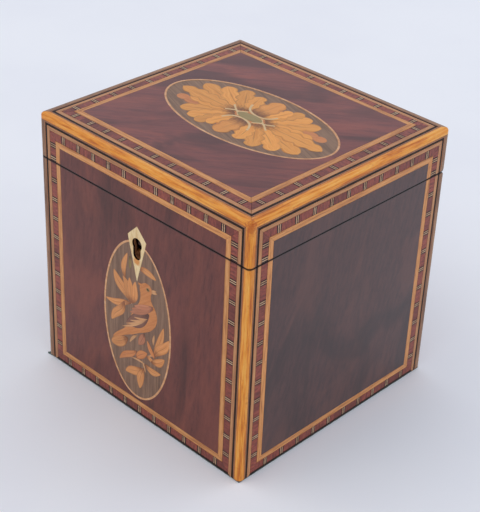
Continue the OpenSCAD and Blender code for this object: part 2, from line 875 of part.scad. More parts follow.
module lid_right_veneer() {
  color(mahogany) in_wall(90, half_w) lid_field(field_y);
}

// Three mitred strips around a lid wall's field
module lid_bands(half) {
  for (side = [-1, 1])
    polygon([[side * (half + band_w), lid_bottom], [side * (half + band_w), edging_foot],
             [side * half, field_head], [side * half, lid_bottom]]);
  polygon([[mitre_gap - half - band_w, edging_foot], [half + band_w - mitre_gap, edging_foot],
           [half - mitre_gap, field_head], [mitre_gap - half, field_head]]);
}

module lid_front_banding() {
  color(banding_red) in_wall(0, half_d) lid_bands(field_x);
}

module lid_back_banding() {
  color(banding_red) difference() {
    in_wall(180, half_d) lid_bands(field_x);
    back_clearance();
  }
}

module lid_left_banding() {
  color(banding_red) in_wall(270, half_w) lid_bands(field_y);
}

module lid_right_banding() {
  color(banding_red) in_wall(90, half_w) lid_bands(field_y);
}

// Corners of a rectangle in the lid's top, from the front left anticlockwise, its middle at (x, y)
function top_corners(hx, hy, x = 0, y = 0) =
  [[x - hx, y - hy], [x + hx, y - hy], [x + hx, y + hy], [x - hx, y + hy]];

module lid_top_veneer() {
  color(mahogany) in_top() difference() {
    polygon(top_corners(field_x, field_y, -top_field_left, top_field_back));
    translate([0, patera_y]) polygon(oval(patera_rx, patera_ry));
  }
}

// One mitred strip of a frame: outer half length and half distance, w wide
module frame_strip(half_l, out, w, gap) {
  polygon([[gap - half_l, -out], [half_l - gap, -out], [half_l - w - gap, w - out], [w + gap - half_l, w - out]]);
}

module lid_top_banding() {
  outer = top_corners(half_w - edging_w, half_d - edging_w);
  inner = top_corners(field_x, field_y, -top_field_left, top_field_back);
  color(banding_red) in_top()
    for (k = [0 : 3]) {
      next = (k + 1) % 4;
      gap = [[1, 0, -1, 0][k] * mitre_gap, 0];
      polygon([outer[k] + gap, outer[next] - gap, inner[next] - gap, inner[k] + gap]);
    }
}

// The four mitred strips that edge the lid's top
module lid_top_edging() {
  color(boxwood) intersection() {
    linear_extrude(caddy_h + past) polygon(eased_plan());
    union() {
      for (s = [0, 1])
        mirror([0, s, 0]) edging_strip(half_w, half_d, mitre_gap);
      for (s = [0, 1])
        mirror([s, 0, 0]) rotate([0, 0, -90]) edging_strip(half_d, half_w, 0);
    }
  }
}

// A strip along X at y = -out, its eased arris at the top outside
module edging_strip(half_l, out, gap) {
  intersection() {
    translate([-half_l, -out, caddy_h]) rotate([90, 0, 90]) linear_extrude(2 * half_l)
      mirror([1, 0]) polygon(edging_section());
    translate([0, 0, edging_foot - past]) linear_extrude(edging_w + 2 * past)
      frame_strip(half_l, out, edging_w, gap);
  }
}

module lid_corner_edging() {
  color(boxwood) difference() {
    corner_strips(lid_bottom, edging_foot);
    back_clearance();
  }
}

// ---- The oval with the acanthus patera ----

module patera_ground() {
  color(harewood) difference() {
    in_top() translate([0, patera_y]) polygon(oval(patera_rx - oval_line_w, patera_ry - oval_line_w));
    in_top(inlay_t) patera_drawing();
  }
}

module patera_line() {
  color(light_line) in_top() translate([0, patera_y]) difference() {
    polygon(oval(patera_rx, patera_ry));
    polygon(oval(patera_rx - oval_line_w, patera_ry - oval_line_w));
  }
}

module patera_marquetry() {
  color(satinwood) in_top(inlay_t) patera_drawing();
}

// Leaves of one quarter of the patera: foot, tip and width
patera_quarter = [
  [[4.3, 3.7], [7.3, 15.6], 4],
  [[8, 4], [15.6, 17.2], 5.2],
  [[10.6, 3.2], [24.6, 13.4], 5],
  [[12.6, 1.9], [32.6, 8.2], 4.4]
];
// Leaves on its two middle lines
patera_upright = [[0, 3.4], [0, 19.4], 6.4];
patera_end_leaf = [[10.6, 0], [38.4, 0], 2.6];
patera_eye = [6.4, 2.4];

module patera_drawing() {
  translate([0, patera_y]) scale(patera_scale) {
    polygon([[-patera_eye[0], 0], [0, -patera_eye[1]], [patera_eye[0], 0], [0, patera_eye[1]]]);
    for (sx = [0, 1], sy = [0, 1], l = patera_quarter)
      mirror([sx, 0]) mirror([0, sy]) polygon(leaf(l[0], l[1], l[2]));
    for (s = [0, 1]) {
      mirror([0, s]) polygon(leaf(patera_upright[0], patera_upright[1], patera_upright[2]));
      mirror([s, 0]) polygon(leaf(patera_end_leaf[0], patera_end_leaf[1], patera_end_leaf[2]));
    }
  }
}

// ---- Link plate on the lid ----

module link_plate_flat() {
  translate([motif_x, 0, 0])
    block([-link_plate_w / 2, link_plate_w / 2], [case_mid_y - link_plate_d / 2, case_mid_y + link_plate_d / 2],
          [lid_bottom, lid_bottom + link_plate_t]);
}

// The two countersunk screws that hold the link plate
module link_screw_set() {
  for (s = [-1, 1])
    translate([motif_x + s * link_screw_x, case_mid_y, lid_bottom]) mirror([0, 0, 1]) screw(screw_l);
}

module link_plate() {
  color(brass) difference() {
    union() {
      link_plate_flat();
      for (s = [-1, 1])
        translate([motif_x + s * link_x, case_mid_y, 0])
          block([-link_t / 2, link_t / 2], [-link_w / 2, link_w / 2], [link_foot, lid_bottom + link_plate_t]);
    }
    translate([motif_x, case_mid_y, 0])
      block([-link_plate_w / 2 - past, link_plate_w / 2 + past], [link_wall - link_w / 2, link_w / 2 - link_wall],
            [eye_lo, eye_hi]);
    link_screw_set();
  }
}

module link_plate_screws() {
  color(steel) link_screw_set();
}

front_board();
back_board();
left_board();
right_board();
base_board();
base_baize();
front_veneer();
back_veneer();
left_veneer();
right_veneer();
front_banding();
back_banding();
left_banding();
right_banding();
body_corner_edging();
bird_oval_ground();
bird_oval_line();
bird_marquetry();
escutcheon();
lock_case();
lock_cap();
lock_drill_pin();
lock_screws();
hinge_left_body_leaf();
hinge_right_body_leaf();
hinge_left_pin();
hinge_right_pin();
hinge_body_screws();
foil_lining();
ledge_fillets();
lid_top_board();
lid_front_rim();
lid_back_rim();
lid_left_rim();
lid_right_rim();
lid_top_veneer();
lid_front_veneer();
lid_back_veneer();
lid_left_veneer();
lid_right_veneer();
lid_top_banding();
lid_front_banding();
lid_back_banding();
lid_left_banding();
lid_right_banding();
lid_top_edging();
lid_corner_edging();
patera_ground();
patera_line();
patera_marquetry();
link_plate();
link_plate_screws();
hinge_left_lid_leaf();
hinge_right_lid_leaf();
hinge_lid_screws();
lock_bolt();
bolt_spring();
inner_lid_board();
inner_lid_knob();
inner_lid_foil();
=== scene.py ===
"""Looks of a square veneered tea caddy with banded faces, an inlaid bird and an inlaid patera.

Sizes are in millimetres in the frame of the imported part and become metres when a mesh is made.
"""

import itertools
import logging
import math
import random
from collections.abc import Callable, Iterator
from contextlib import contextmanager
from dataclasses import dataclass, field, replace
from enum import Enum

import bmesh
import bpy
from bpy.types import ID, Material, Mesh, Node, NodeSocket, NodeTree, Object
from mathutils import Matrix, Vector, noise


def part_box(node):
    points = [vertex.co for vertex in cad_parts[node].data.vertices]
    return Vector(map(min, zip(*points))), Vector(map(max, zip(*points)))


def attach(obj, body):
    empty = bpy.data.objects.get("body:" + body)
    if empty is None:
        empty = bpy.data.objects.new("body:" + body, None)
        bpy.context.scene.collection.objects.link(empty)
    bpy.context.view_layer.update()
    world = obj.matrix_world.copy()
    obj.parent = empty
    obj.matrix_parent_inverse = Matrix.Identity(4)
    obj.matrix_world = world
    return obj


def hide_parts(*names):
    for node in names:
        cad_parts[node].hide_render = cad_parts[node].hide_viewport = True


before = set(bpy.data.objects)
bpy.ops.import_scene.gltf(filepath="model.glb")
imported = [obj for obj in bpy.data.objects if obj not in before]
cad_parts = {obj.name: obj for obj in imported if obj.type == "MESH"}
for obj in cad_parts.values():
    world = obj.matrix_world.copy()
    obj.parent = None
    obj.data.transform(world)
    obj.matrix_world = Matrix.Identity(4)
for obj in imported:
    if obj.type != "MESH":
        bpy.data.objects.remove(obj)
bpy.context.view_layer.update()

log = logging.getLogger("tea_caddy")

MM = 0.001
WELD = 1e-7
GRAIN_UV = "grain"
LEAF_UV = "leaf"
TINT = "tint"
CORNERS = ((-1, -1), (1, -1), (1, 1), (-1, 1))
X, Y, Z = Vector((1, 0, 0)), Vector((0, 1, 0)), Vector((0, 0, 1))

Point = tuple[float, float]
Colour = tuple[float, float, float]
Linear = tuple[float, float, float, float]


# ---- Frame of the caddy ----


@dataclass(frozen=True)
class Caddy:
    """Main sizes of the carcase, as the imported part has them."""

    half_w: float = 60.0
    half_d: float = 58.0
    height: float = 121.0
    foot: float = 0.8
    body_top: float = 100.8
    lid_foot: float = 101.2
    edging_w: float = 2.8
    edging_r: float = 1.6
    band_w: float = 9.6
    foot_band_w: float = 7.1
    top_left: float = 0.8
    top_back: float = 0.8
    veneer_t: float = 1.0
    axis_y: float = 56.2
    seam: float = 101.0
    bevel_angle: float = 47.5
    motif_x: float = -1.0

    @property
    def edging_foot(self) -> float:
        """Height of the lower edge of the edging round the lid's top."""
        return self.height - self.edging_w

    @property
    def field_foot(self) -> float:
        """Height of the foot of a wall's plain field."""
        return self.foot + self.foot_band_w

    @property
    def field_head(self) -> float:
        """Height of the head of a wall's plain field."""
        return self.edging_foot - self.band_w

    @property
    def field_x(self) -> float:
        """Half width of the field on the front, the back and the lid's top."""
        return self.half_w - self.edging_w - self.band_w

    @property
    def field_y(self) -> float:
        """Half width of the field on the two sides."""
        return self.half_d - self.edging_w - self.band_w


CADDY = Caddy()


class Face(Enum):
    """The five veneered faces."""

    FRONT = "front"
    RIGHT = "right"
    BACK = "back"
    LEFT = "left"
    TOP = "top"


@dataclass(frozen=True)
class Plane:
    """A face as a drawing board: across and up lie in it, out points away from the wood."""

    origin: Vector
    across: Vector
    up: Vector
    out: Vector

    def at(self, u: float, v: float, depth: float) -> Vector:
        """Returns the place of a point of the drawing, depth millimetres under the face."""
        return self.origin + self.across * u + self.up * v - self.out * depth


PLANES = {
    Face.FRONT: Plane(-Y * CADDY.half_d, X, Z, -Y),
    Face.RIGHT: Plane(X * CADDY.half_w, Y, Z, X),
    Face.BACK: Plane(Y * CADDY.half_d, -X, Z, Y),
    Face.LEFT: Plane(-X * CADDY.half_w, -Y, Z, -X),
    Face.TOP: Plane(Z * CADDY.height, X, Y, Z),
}


def tone(red: float, green: float, blue: float) -> Linear:
    """Turns a display colour into the linear colour that a shader takes.

    Args:
        red: Red, 0 to 255.
        green: Green, 0 to 255.
        blue: Blue, 0 to 255.

    Returns:
        The linear colour with full alpha.
    """
    parts = (value / 255 for value in (red, green, blue))
    return (*(p / 12.92 if p <= 0.04045 else ((p + 0.055) / 1.055) ** 2.4 for p in parts), 1.0)


def tones(*colours: Colour) -> list[Linear]:
    """Returns the linear colours of several display colours."""
    return [tone(*colour) for colour in colours]


# ---- Meshes ----


def anticlockwise(outline: list[Point]) -> list[Point]:
    """Returns an outline, turned round if it runs clockwise."""
    area = sum(a[0] * b[1] - b[0] * a[1] for a, b in zip(outline, outline[1:] + outline[:1]))
    return outline if area > 0 else outline[::-1]


def rounded(outline: list[Point], steps: int = 4, closed: bool = True) -> list[Point]:
    """Returns a smooth line through the points of an outline.

    Args:
        outline: Points that the line passes.
        steps: How many points it has for each one given.
        closed: Whether its end joins its start.

    Returns:
        The points of the smooth line.
    """
    count = len(outline)
    spots = [Vector(p) for p in outline]
    line: list[Point] = []
    for i in range(count if closed else count - 1):
        if closed:
            a, b, c, d = (spots[(i + k) % count] for k in (-1, 0, 1, 2))
        else:
            a, b, c, d = (spots[min(count - 1, max(0, i + k))] for k in (-1, 0, 1, 2))
        for k in range(steps):
            t = k / steps
            spot = (b * 2 + (c - a) * t + (a * 2 - b * 5 + c * 4 - d) * t ** 2
                    + (b * 3 - a - c * 3 + d) * t ** 3) / 2
            line.append((spot.x, spot.y))
    if not closed:
        line.append(tuple(spots[-1]))
    return line


class Mesher:
    """Collects points and faces of one piece, in millimetres, and makes its mesh."""

    def __init__(self) -> None:
        """Starts an empty piece."""
        self.points: list[Vector] = []
        self.tints: list[float] = []
        self.faces: list[tuple[int, ...]] = []
        self.slots: list[int] = []
        self.grain: list[list[Point]] = []
        self.leaf: list[list[Point]] = []

    def point(self, place: Vector, tint: float = 0.5) -> int:
        """Adds a point and returns its number."""
        self.points.append(Vector(place))
        self.tints.append(tint)
        return len(self.points) - 1

    def face(self, ids: list[int], slot: int, grain: list[Point], leaf: list[Point] | None = None) -> None:
        """Adds a face.

        Args:
            ids: Numbers of its points, anticlockwise from outside.
            slot: Number of its finish.
            grain: Place of each point along and across the grain, in millimetres.
            leaf: Place of each point along and across its leaf, or None for a plain face.
        """
        self.faces.append(tuple(ids))
        self.slots.append(slot)
        self.grain.append(grain)
        self.leaf.append(leaf or [(0.75, 0.5)] * len(ids))

    def prism(self, plane: Plane, outline: list[Point], top: float, bottom: float, slot: int = 0,
              turn: float = 0.0, shift: float = 0.0, tint: float = 0.5) -> None:
        """Adds a flat plate with upright edges.

        Args:
            plane: Face that it lies in.
            outline: Its outline, anticlockwise from outside.
            top: Depth of its outer surface under the face.
            bottom: Depth of its underside.
            slot: Number of its finish.
            turn: Direction of its grain in the drawing, in degrees.
            shift: How far its grain is moved along, in millimetres.
            tint: How light its wood is, 0 to 1.
        """
        outline = anticlockwise(outline)
        upper = [self.point(plane.at(u, v, top), tint) for u, v in outline]
        lower = [self.point(plane.at(u, v, bottom), tint) for u, v in outline]
        cos, sin = math.cos(math.radians(turn)), math.sin(math.radians(turn))
        lie = [(u * cos + v * sin + shift, v * cos - u * sin + 0.37 * shift) for u, v in outline]
        self.face(upper, slot, lie)
        self.face(lower[::-1], slot, lie[::-1])
        for i in range(len(outline)):
            j = (i + 1) % len(outline)
            self.face([lower[i], lower[j], upper[j], upper[i]], slot, [lie[i], lie[j], lie[j], lie[i]])

    def build(self, name: str, finishes: list[Material], smooth_angle: float = 0.0,
              turn_out: bool = True) -> Object:
        """Makes the piece.

        Args:
            name: Name of the object and its mesh.
            finishes: Its materials, in the order of the slot numbers.
            smooth_angle: Corners flatter than this are shaded smooth, in degrees. 0 leaves all flat.
            turn_out: Whether its faces still have to be turned outwards.

        Returns:
            The new object.
        """
        mesh = bpy.data.meshes.new(name)
        mesh.from_pydata([tuple(p * MM) for p in self.points], [], self.faces)
        grain = mesh.uv_layers.new(name=GRAIN_UV)
        leaf = mesh.uv_layers.new(name=LEAF_UV)
        corner = 0
        for lies, spots in zip(self.grain, self.leaf):
            for lie, spot in zip(lies, spots):
                grain.data[corner].uv = (lie[0] * MM, lie[1] * MM)
                leaf.data[corner].uv = spot
                corner += 1
        mesh.attributes.new(TINT, "FLOAT", "POINT").data.foreach_set("value", self.tints)
        for finish in finishes:
            mesh.materials.append(finish)
        mesh.polygons.foreach_set("material_index", self.slots)
        if turn_out:
            tidy(mesh)
        if smooth_angle:
            mesh.shade_smooth()
            mesh.set_sharp_from_angle(angle=math.radians(smooth_angle))
        return link(name, mesh)


@contextmanager
def reworked(mesh: Mesh) -> Iterator[bmesh.types.BMesh]:
    """Opens a mesh for work, and writes it back with its faces turned outwards."""
    work = bmesh.new()
    work.from_mesh(mesh)
    yield work
    bmesh.ops.recalc_face_normals(work, faces=work.faces)
    work.to_mesh(mesh)
    work.free()


def tidy(mesh: Mesh, merge: bool = False) -> None:
    """Turns a mesh's faces outwards, and with merge closes its seams first."""
    with reworked(mesh) as work:
        if merge:
            bmesh.ops.remove_doubles(work, verts=work.verts, dist=WELD)
            bmesh.ops.dissolve_degenerate(work, dist=WELD, edges=work.edges)


def link(name: str, data: ID) -> Object:
    """Returns a new object of a mesh, curve, light or camera, in the scene."""
    piece = bpy.data.objects.new(name, data)
    bpy.context.scene.collection.objects.link(piece)
    return piece


def guide_mesh(name: str, points: list[Vector], edges: list[tuple[int, int]]) -> Mesh:
    """Returns a mesh of points in millimetres and edges, for a tree to follow."""
    mesh = bpy.data.meshes.new(name)
    mesh.from_pydata([tuple(p * MM) for p in points], edges, [])
    return mesh


def applied(piece: Object) -> Object:
    """Turns a piece's live modifiers into plain mesh.

    Args:
        piece: Piece with modifiers.

    Returns:
        The piece.
    """
    graph = bpy.context.evaluated_depsgraph_get()
    mesh = bpy.data.meshes.new_from_object(piece.evaluated_get(graph), preserve_all_data_layers=True,
                                           depsgraph=graph)
    piece.modifiers.clear()
    piece.data = mesh
    return piece


def cut_back(piece: Object, of_lid: bool) -> Object:
    """Cuts the slope behind the hinges off a piece at the back.

    Args:
        piece: Piece to cut.
        of_lid: True for a piece of the lid, False for one of the body.

    Returns:
        The piece.
    """
    rise = 1 if of_lid else -1
    level = CADDY.lid_foot if of_lid else CADDY.body_top
    angle = math.radians(CADDY.bevel_angle)
    with reworked(piece.data) as work:
        cut = bmesh.ops.bisect_plane(
            work, geom=[*work.verts, *work.edges, *work.faces], dist=WELD, clear_outer=True,
            plane_co=(0, CADDY.axis_y * MM, level * MM),
            plane_no=(0, math.sin(angle), -rise * math.cos(angle)))
        rims = [e for e in cut["geom_cut"] if isinstance(e, bmesh.types.BMEdge) and e.is_boundary]
        bmesh.ops.holes_fill(work, edges=rims, sides=0)
    return piece


def place(piece: Object, body: str, slot: str, *stands_for: str) -> Object:
    """Puts a finished piece on its CAD body and reports it.

    Args:
        piece: Finished piece.
        body: CAD body that it moves with.
        slot: Material slot that its finish belongs to; not used.
        stands_for: CAD nodes that it is shown for.

    Returns:
        The piece.
    """
    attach(piece, body)
    if stands_for:
        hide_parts(*stands_for)
    log.info("%s on %s, %d faces", piece.name, body, len(piece.data.polygons))
    return piece


def dress(finish: Material, *nodes: str) -> None:
    """Gives CAD nodes their finish.

    Args:
        finish: The finish.
        nodes: Names of the nodes.
    """
    for node in nodes:
        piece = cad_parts[node]
        if not piece.material_slots:
            piece.data.materials.append(finish)
        for slot in piece.material_slots:
            slot.material = finish
        log.info("%s dressed in %s", node, finish.name)


# ---- Shader building ----


class Net:
    """Short calls for laying out the nodes of one tree."""

    def __init__(self, tree: NodeTree) -> None:
        """Works on a tree.

        Args:
            tree: Tree of a material or of a node group.
        """
        self.tree = tree

    def node(self, kind: str, inputs: dict | None = None, **settings: object) -> Node:
        """Adds a node.

        Args:
            kind: Type of the node.
            inputs: Value or socket for each named or numbered input.
            settings: Properties of the node.

        Returns:
            The node.
        """
        made = self.tree.nodes.new(kind)
        for key, value in settings.items():
            setattr(made, key, value)
        for key, value in (inputs or {}).items():
            self.feed(made.inputs[key], value)
        return made

    def feed(self, socket: NodeSocket, value: object) -> None:
        """Links a socket to an input, or sets the input's own value."""
        if isinstance(value, NodeSocket):
            self.tree.links.new(value, socket)
        else:
            socket.default_value = value

    def first(self, kind: str, inputs: dict, **settings: object) -> NodeSocket:
        """Adds a node and returns its first output."""
        return self.node(kind, inputs, **settings).outputs[0]

    def noise(self, vector: object, scale: float, detail: float = 4.0, rough: float = 0.55,
              warp: float = 0.0) -> NodeSocket:
        """Returns the value of a noise texture."""
        return self.first("ShaderNodeTexNoise", {"Vector": vector, "Scale": scale, "Detail": detail,
                                                 "Roughness": rough, "Distortion": warp})

    def place(self, vector: object, scale: tuple = (1, 1, 1), turn: tuple = (0, 0, 0),
              move: tuple = (0, 0, 0)) -> NodeSocket:
        """Returns a vector that is moved, turned (in degrees) and scaled."""
        return self.first("ShaderNodeMapping", {"Vector": vector, "Scale": scale, "Location": move,
                                                "Rotation": tuple(math.radians(a) for a in turn)})

    def xyz(self, x: object = 0.0, y: object = 0.0, z: object = 0.0) -> NodeSocket:
        """Returns a vector of three values."""
        return self.first("ShaderNodeCombineXYZ", {"X": x, "Y": y, "Z": z})

    def parts(self, vector: object) -> list[NodeSocket]:
        """Returns the three values of a vector."""
        return list(self.node("ShaderNodeSeparateXYZ", {0: vector}).outputs)

    def stretch(self, vector: object, along: object, across: object) -> NodeSocket:
        """Returns a vector scaled by one value along X and another across it."""
        return self.first("ShaderNodeVectorMath", {0: vector, 1: self.xyz(along, across, across)},
                          operation="MULTIPLY")

    def sum(self, kind: str, first: object, second: object = 0.0, clamp: bool = False) -> NodeSocket:
        """Returns the result of a Math node."""
        return self.first("ShaderNodeMath", {0: first, 1: second}, operation=kind, use_clamp=clamp)

    def times(self, first: object, second: object) -> NodeSocket:
        """Returns a product."""
        return self.sum("MULTIPLY", first, second)

    def plus(self, first: object, second: object) -> NodeSocket:
        """Returns a sum."""
        return self.sum("ADD", first, second)

    def mask(self, value: object, low: float, high: float, to_low: float = 0.0,
             to_high: float = 1.0) -> NodeSocket:
        """Returns a value eased from one range into another."""
        return self.first("ShaderNodeMapRange", {"Value": value, 1: low, 2: high, 3: to_low, 4: to_high},
                          interpolation_type="SMOOTHSTEP")

    def blend(self, factor: object, first: object, second: object) -> NodeSocket:
        """Returns two colours mixed."""
        return self.node("ShaderNodeMix", {0: factor, 6: first, 7: second}, data_type="RGBA").outputs[2]

    def stain(self, base: object, mask: object, amount: float, colour: tuple) -> NodeSocket:
        """Returns a colour stained by another where a mask is high, up to an amount."""
        return self.blend(self.times(mask, amount), base, colour)

    def ramp(self, value: object, *stops: tuple[float, tuple]) -> NodeSocket:
        """Reads a colour off a ramp.

        Args:
            value: Place on the ramp.
            stops: Place and colour of each stop.

        Returns:
            The colour.
        """
        made = self.node("ShaderNodeValToRGB", {0: value})
        band = made.color_ramp
        while len(band.elements) < len(stops):
            band.elements.new(0.5)
        for element, (spot, colour) in zip(band.elements, stops):
            element.position = spot
            element.color = colour
        return made.outputs[0]

    def bump(self, height: object, depth: float, strength: float = 1.0) -> NodeSocket:
        """Returns a normal roughened by a height, depth millimetres deep."""
        return self.first("ShaderNodeBump", {"Height": height, "Distance": depth * MM, "Strength": strength})

    def group(self, tree: NodeTree, **inputs: object) -> object:
        """Places a node group with its inputs and returns its outputs, which are called by name."""
        made = self.node("ShaderNodeGroup", node_tree=tree)
        for key, value in inputs.items():
            self.feed(made.inputs[key], value)
        return made.outputs


def new_group(name: str, inputs: list[tuple[str, str, object]],
              outputs: list[str]) -> tuple[Net, dict, Node]:
    """Starts a shader node group.

    Args:
        name: Name of the group.
        inputs: Name, socket type and default value of each input.
        outputs: Names of its value outputs.

    Returns:
        The net, its input sockets by name, and its output node.
    """
    tree = bpy.data.node_groups.new(name, "ShaderNodeTree")
    for label, kind, value in inputs:
        socket = tree.interface.new_socket(label, in_out="INPUT", socket_type=kind)
        if value is not None:
            socket.default_value = value
    for label in outputs:
        tree.interface.new_socket(label, in_out="OUTPUT", socket_type="NodeSocketFloat")
    net = Net(tree)
    entry = tree.nodes.new("NodeGroupInput")
    leave = tree.nodes.new("NodeGroupOutput")
    return net, {label: entry.outputs[label] for label, _, _ in inputs}, leave


FLOAT = "NodeSocketFloat"
VECTOR = "NodeSocketVector"
MATERIAL = "NodeSocketMaterial"


class Effects:
    """The shader effects that several finishes share."""

    def __init__(self) -> None:
        """Builds every effect once."""
        self.grain = self.make_grain()
        self.figure = self.make_figure()
        self.polish = self.make_polish()
        self.wear = self.make_wear()
        self.seam = self.make_seam()

    def make_grain(self) -> NodeTree:
        """Returns straight grain along X: its tone, its pores and its height."""
        net, given, leave = new_group("Wood grain", [
            ("Vector", VECTOR, None), ("Along", FLOAT, 60.0), ("Across", FLOAT, 900.0),
            ("Fleck", FLOAT, 0.5)], ["Tone", "Pores", "Height"])
        lie = net.stretch(given["Vector"], given["Along"], given["Across"])
        broad = net.noise(lie, 1.0, 5.0, 0.62, 0.25)
        fine = net.noise(lie, 3.6, 3.0, 0.6)
        tone_value = net.plus(net.times(broad, 0.68), net.times(fine, 0.32))
        pores = net.times(net.mask(net.noise(lie, 6.2, 2.0, 0.5), 0.56, 0.74), given["Fleck"])
        net.feed(leave.inputs["Tone"], net.mask(tone_value, 0.3, 0.7))
        net.feed(leave.inputs["Pores"], pores)
        net.feed(leave.inputs["Height"], net.sum("SUBTRACT", net.times(tone_value, 0.4), pores))
        return net.tree

    def make_figure(self) -> NodeTree:
        """Returns the flame figure of curl mahogany: dark tongues and bright curls, stretched along X."""
        net, given, leave = new_group("Flame figure", [
            ("Vector", VECTOR, None), ("Along", FLOAT, 14.0), ("Across", FLOAT, 46.0)], ["Dark", "Bright"])
        lie = net.stretch(given["Vector"], given["Along"], given["Across"])
        swirl = net.noise(lie, 0.55, 2.0, 0.5)
        bent = net.first("ShaderNodeVectorMath", {0: lie, 1: swirl}, operation="ADD")
        tongues = net.noise(bent, 1.0, 3.0, 0.5, 0.9)
        curls = net.noise(bent, 1.7, 4.0, 0.55, 0.6)
        net.feed(leave.inputs["Dark"], net.mask(tongues, 0.47, 0.66))
        net.feed(leave.inputs["Bright"], net.mask(curls, 0.48, 0.68))
        return net.tree

    def make_polish(self) -> NodeTree:
        """Returns an old polish: its roughness and the height of its ripples and fine scratches."""
        net, given, leave = new_group("Old polish", [
            ("Vector", VECTOR, None), ("Base", FLOAT, 0.25), ("Spread", FLOAT, 0.1),
            ("Scale", FLOAT, 90.0)], ["Roughness", "Height"])
        cloud = net.noise(given["Vector"], given["Scale"], 3.0, 0.6)
        rub = net.noise(net.place(given["Vector"], scale=(1, 1, 6), turn=(20, 35, 10)), 900.0, 2.0, 0.5)
        spread = net.times(net.sum("SUBTRACT", cloud, 0.5), given["Spread"])
        net.feed(leave.inputs["Roughness"], net.sum("ADD", given["Base"], spread, clamp=True))
        net.feed(leave.inputs["Height"], net.plus(net.times(cloud, 0.8),
                                                 net.times(rub, 0.2)))
        return net.tree

    def make_wear(self) -> NodeTree:
        """Returns patches of handling: where the surface is rubbed and where dirt has settled."""
        net, given, leave = new_group("Handling wear", [
            ("Vector", VECTOR, None), ("Scale", FLOAT, 60.0), ("Amount", FLOAT, 0.5)], ["Rubbed", "Grime"])
        patch = net.noise(given["Vector"], given["Scale"], 4.0, 0.65)
        spots = net.noise(given["Vector"], net.times(given["Scale"], 4.5), 2.0, 0.5)
        rubbed = net.mask(patch, 0.55, 0.72)
        grime = net.times(net.mask(spots, 0.6, 0.75), net.mask(patch, 0.6, 0.4))
        net.feed(leave.inputs["Rubbed"], net.times(rubbed, given["Amount"]))
        net.feed(leave.inputs["Grime"], net.times(grime, given["Amount"]))
        return net.tree

    def make_seam(self) -> NodeTree:
        """Returns the dirt and painted shade along the joint between the lid and the body."""
        net, given, leave = new_group("Seam grime and shade", [
            ("Vector", VECTOR, None), ("Level", FLOAT, 0.101), ("Reach", FLOAT, 0.0006)], ["Dirt"])
        away = net.sum("ABSOLUTE", net.sum("SUBTRACT", net.parts(given["Vector"])[2], given["Level"]))
        ragged = net.times(net.noise(given["Vector"], 260.0, 3.0, 0.6), given["Reach"])
        net.feed(leave.inputs["Dirt"], net.mask(net.sum("SUBTRACT", away, ragged), 0.0005, 0.0))
        return net.tree


FX = Effects()


def new_material(name: str) -> tuple[Material, Net, Node]:
    """Returns a new material, its net and its Principled shader."""
    made = bpy.data.materials.new(name)
    made.use_nodes = True
    return made, Net(made.node_tree), made.node_tree.nodes["Principled BSDF"]


def object_place(net: Net) -> NodeSocket:
    """Returns the object coordinates."""
    return net.node("ShaderNodeTexCoord").outputs["Object"]


def own_uv(net: Net, layer: str) -> NodeSocket:
    """Returns one of the piece's own UV maps."""
    return net.first("ShaderNodeUVMap", {}, uv_map=layer)


def tinted(net: Net, wood: object, low: float, high: float) -> NodeSocket:
    """Returns a colour made darker or lighter by the piece's own tint."""
    tint = net.node("ShaderNodeAttribute", attribute_name=TINT, attribute_type="GEOMETRY").outputs["Fac"]
    return net.first("ShaderNodeHueSaturation", {"Color": wood, "Value": net.mask(tint, 0.0, 1.0, low, high)})


def seamed(net: Net, wood: object) -> NodeSocket:
    """Returns a colour darkened along the joint of the lid: dirt in the joint and painted shade of the gap.
    """
    dirt_and_shade = net.group(FX.seam, Vector=object_place(net), Level=CADDY.seam * MM)["Dirt"]
    return net.stain(wood, dirt_and_shade, 0.85, tone(24, 12, 10))


def near_spot(net: Net, vector: object, spot: tuple, reach: float, ragged: float) -> NodeSocket:
    """Returns a mask that fades in toward a spot.

    Args:
        net: Net of the finish.
        vector: Object coordinates.
        spot: The spot, in millimetres.
        reach: How far the mask reaches.
        ragged: How far its edge wanders.

    Returns:
        The mask, 1 at the spot.
    """
    centre = tuple(c * MM for c in spot)
    away = net.node("ShaderNodeVectorMath", {0: vector, 1: centre}, operation="DISTANCE").outputs["Value"]
    away = net.plus(away, net.times(net.noise(vector, 900.0, 3.0), ragged * MM))
    return net.mask(away, reach * MM, 0.6 * reach * MM)


@dataclass(frozen=True)
class Polish:
    """An old polish: its roughness, how far that varies and the scale of its clouds."""

    base: float
    spread: float
    scale: float


@dataclass(frozen=True)
class Relief:
    """How deep a surface is in millimetres, how strong, and what its grain and polish add to it."""

    depth: float
    strength: float
    grain: float = 0.0
    polish: float = 1.0


def surface(net: Net, shader: Node, colour: object, polish: Polish, relief: Relief,
            grain: object = 0.0) -> None:
    """Gives a shader its colour, its polish and its relief.

    Args:
        net: Net of the finish.
        shader: Principled shader of the finish.
        colour: Its colour.
        polish: Its polish.
        relief: Its relief.
        grain: Height of its grain.
    """
    skin = net.group(FX.polish, Vector=object_place(net), Base=polish.base, Spread=polish.spread,
                     Scale=polish.scale)
    height = net.plus(net.times(grain, relief.grain), net.times(skin["Height"], relief.polish))
    net.feed(shader.inputs["Base Color"], colour)
    net.feed(shader.inputs["Roughness"], skin["Roughness"])
    net.feed(shader.inputs["Normal"], net.bump(height, relief.depth, relief.strength))


def fixed(shader: Node, **values: float) -> None:
    """Sets a shader's own values; an underline in a name stands for a space."""
    for key, value in values.items():
        shader.inputs[key.replace("_", " ")].default_value = value


def varnish(shader: Node, coat: float, coat_roughness: float, specular: float = 0.12) -> None:
    """Sets the clear polish over a finish, and the gloss of the wood itself."""
    fixed(shader, Coat_Weight=coat, Coat_Roughness=coat_roughness, Coat_IOR=1.5, Specular_IOR_Level=specular)


# ---- Finishes ----


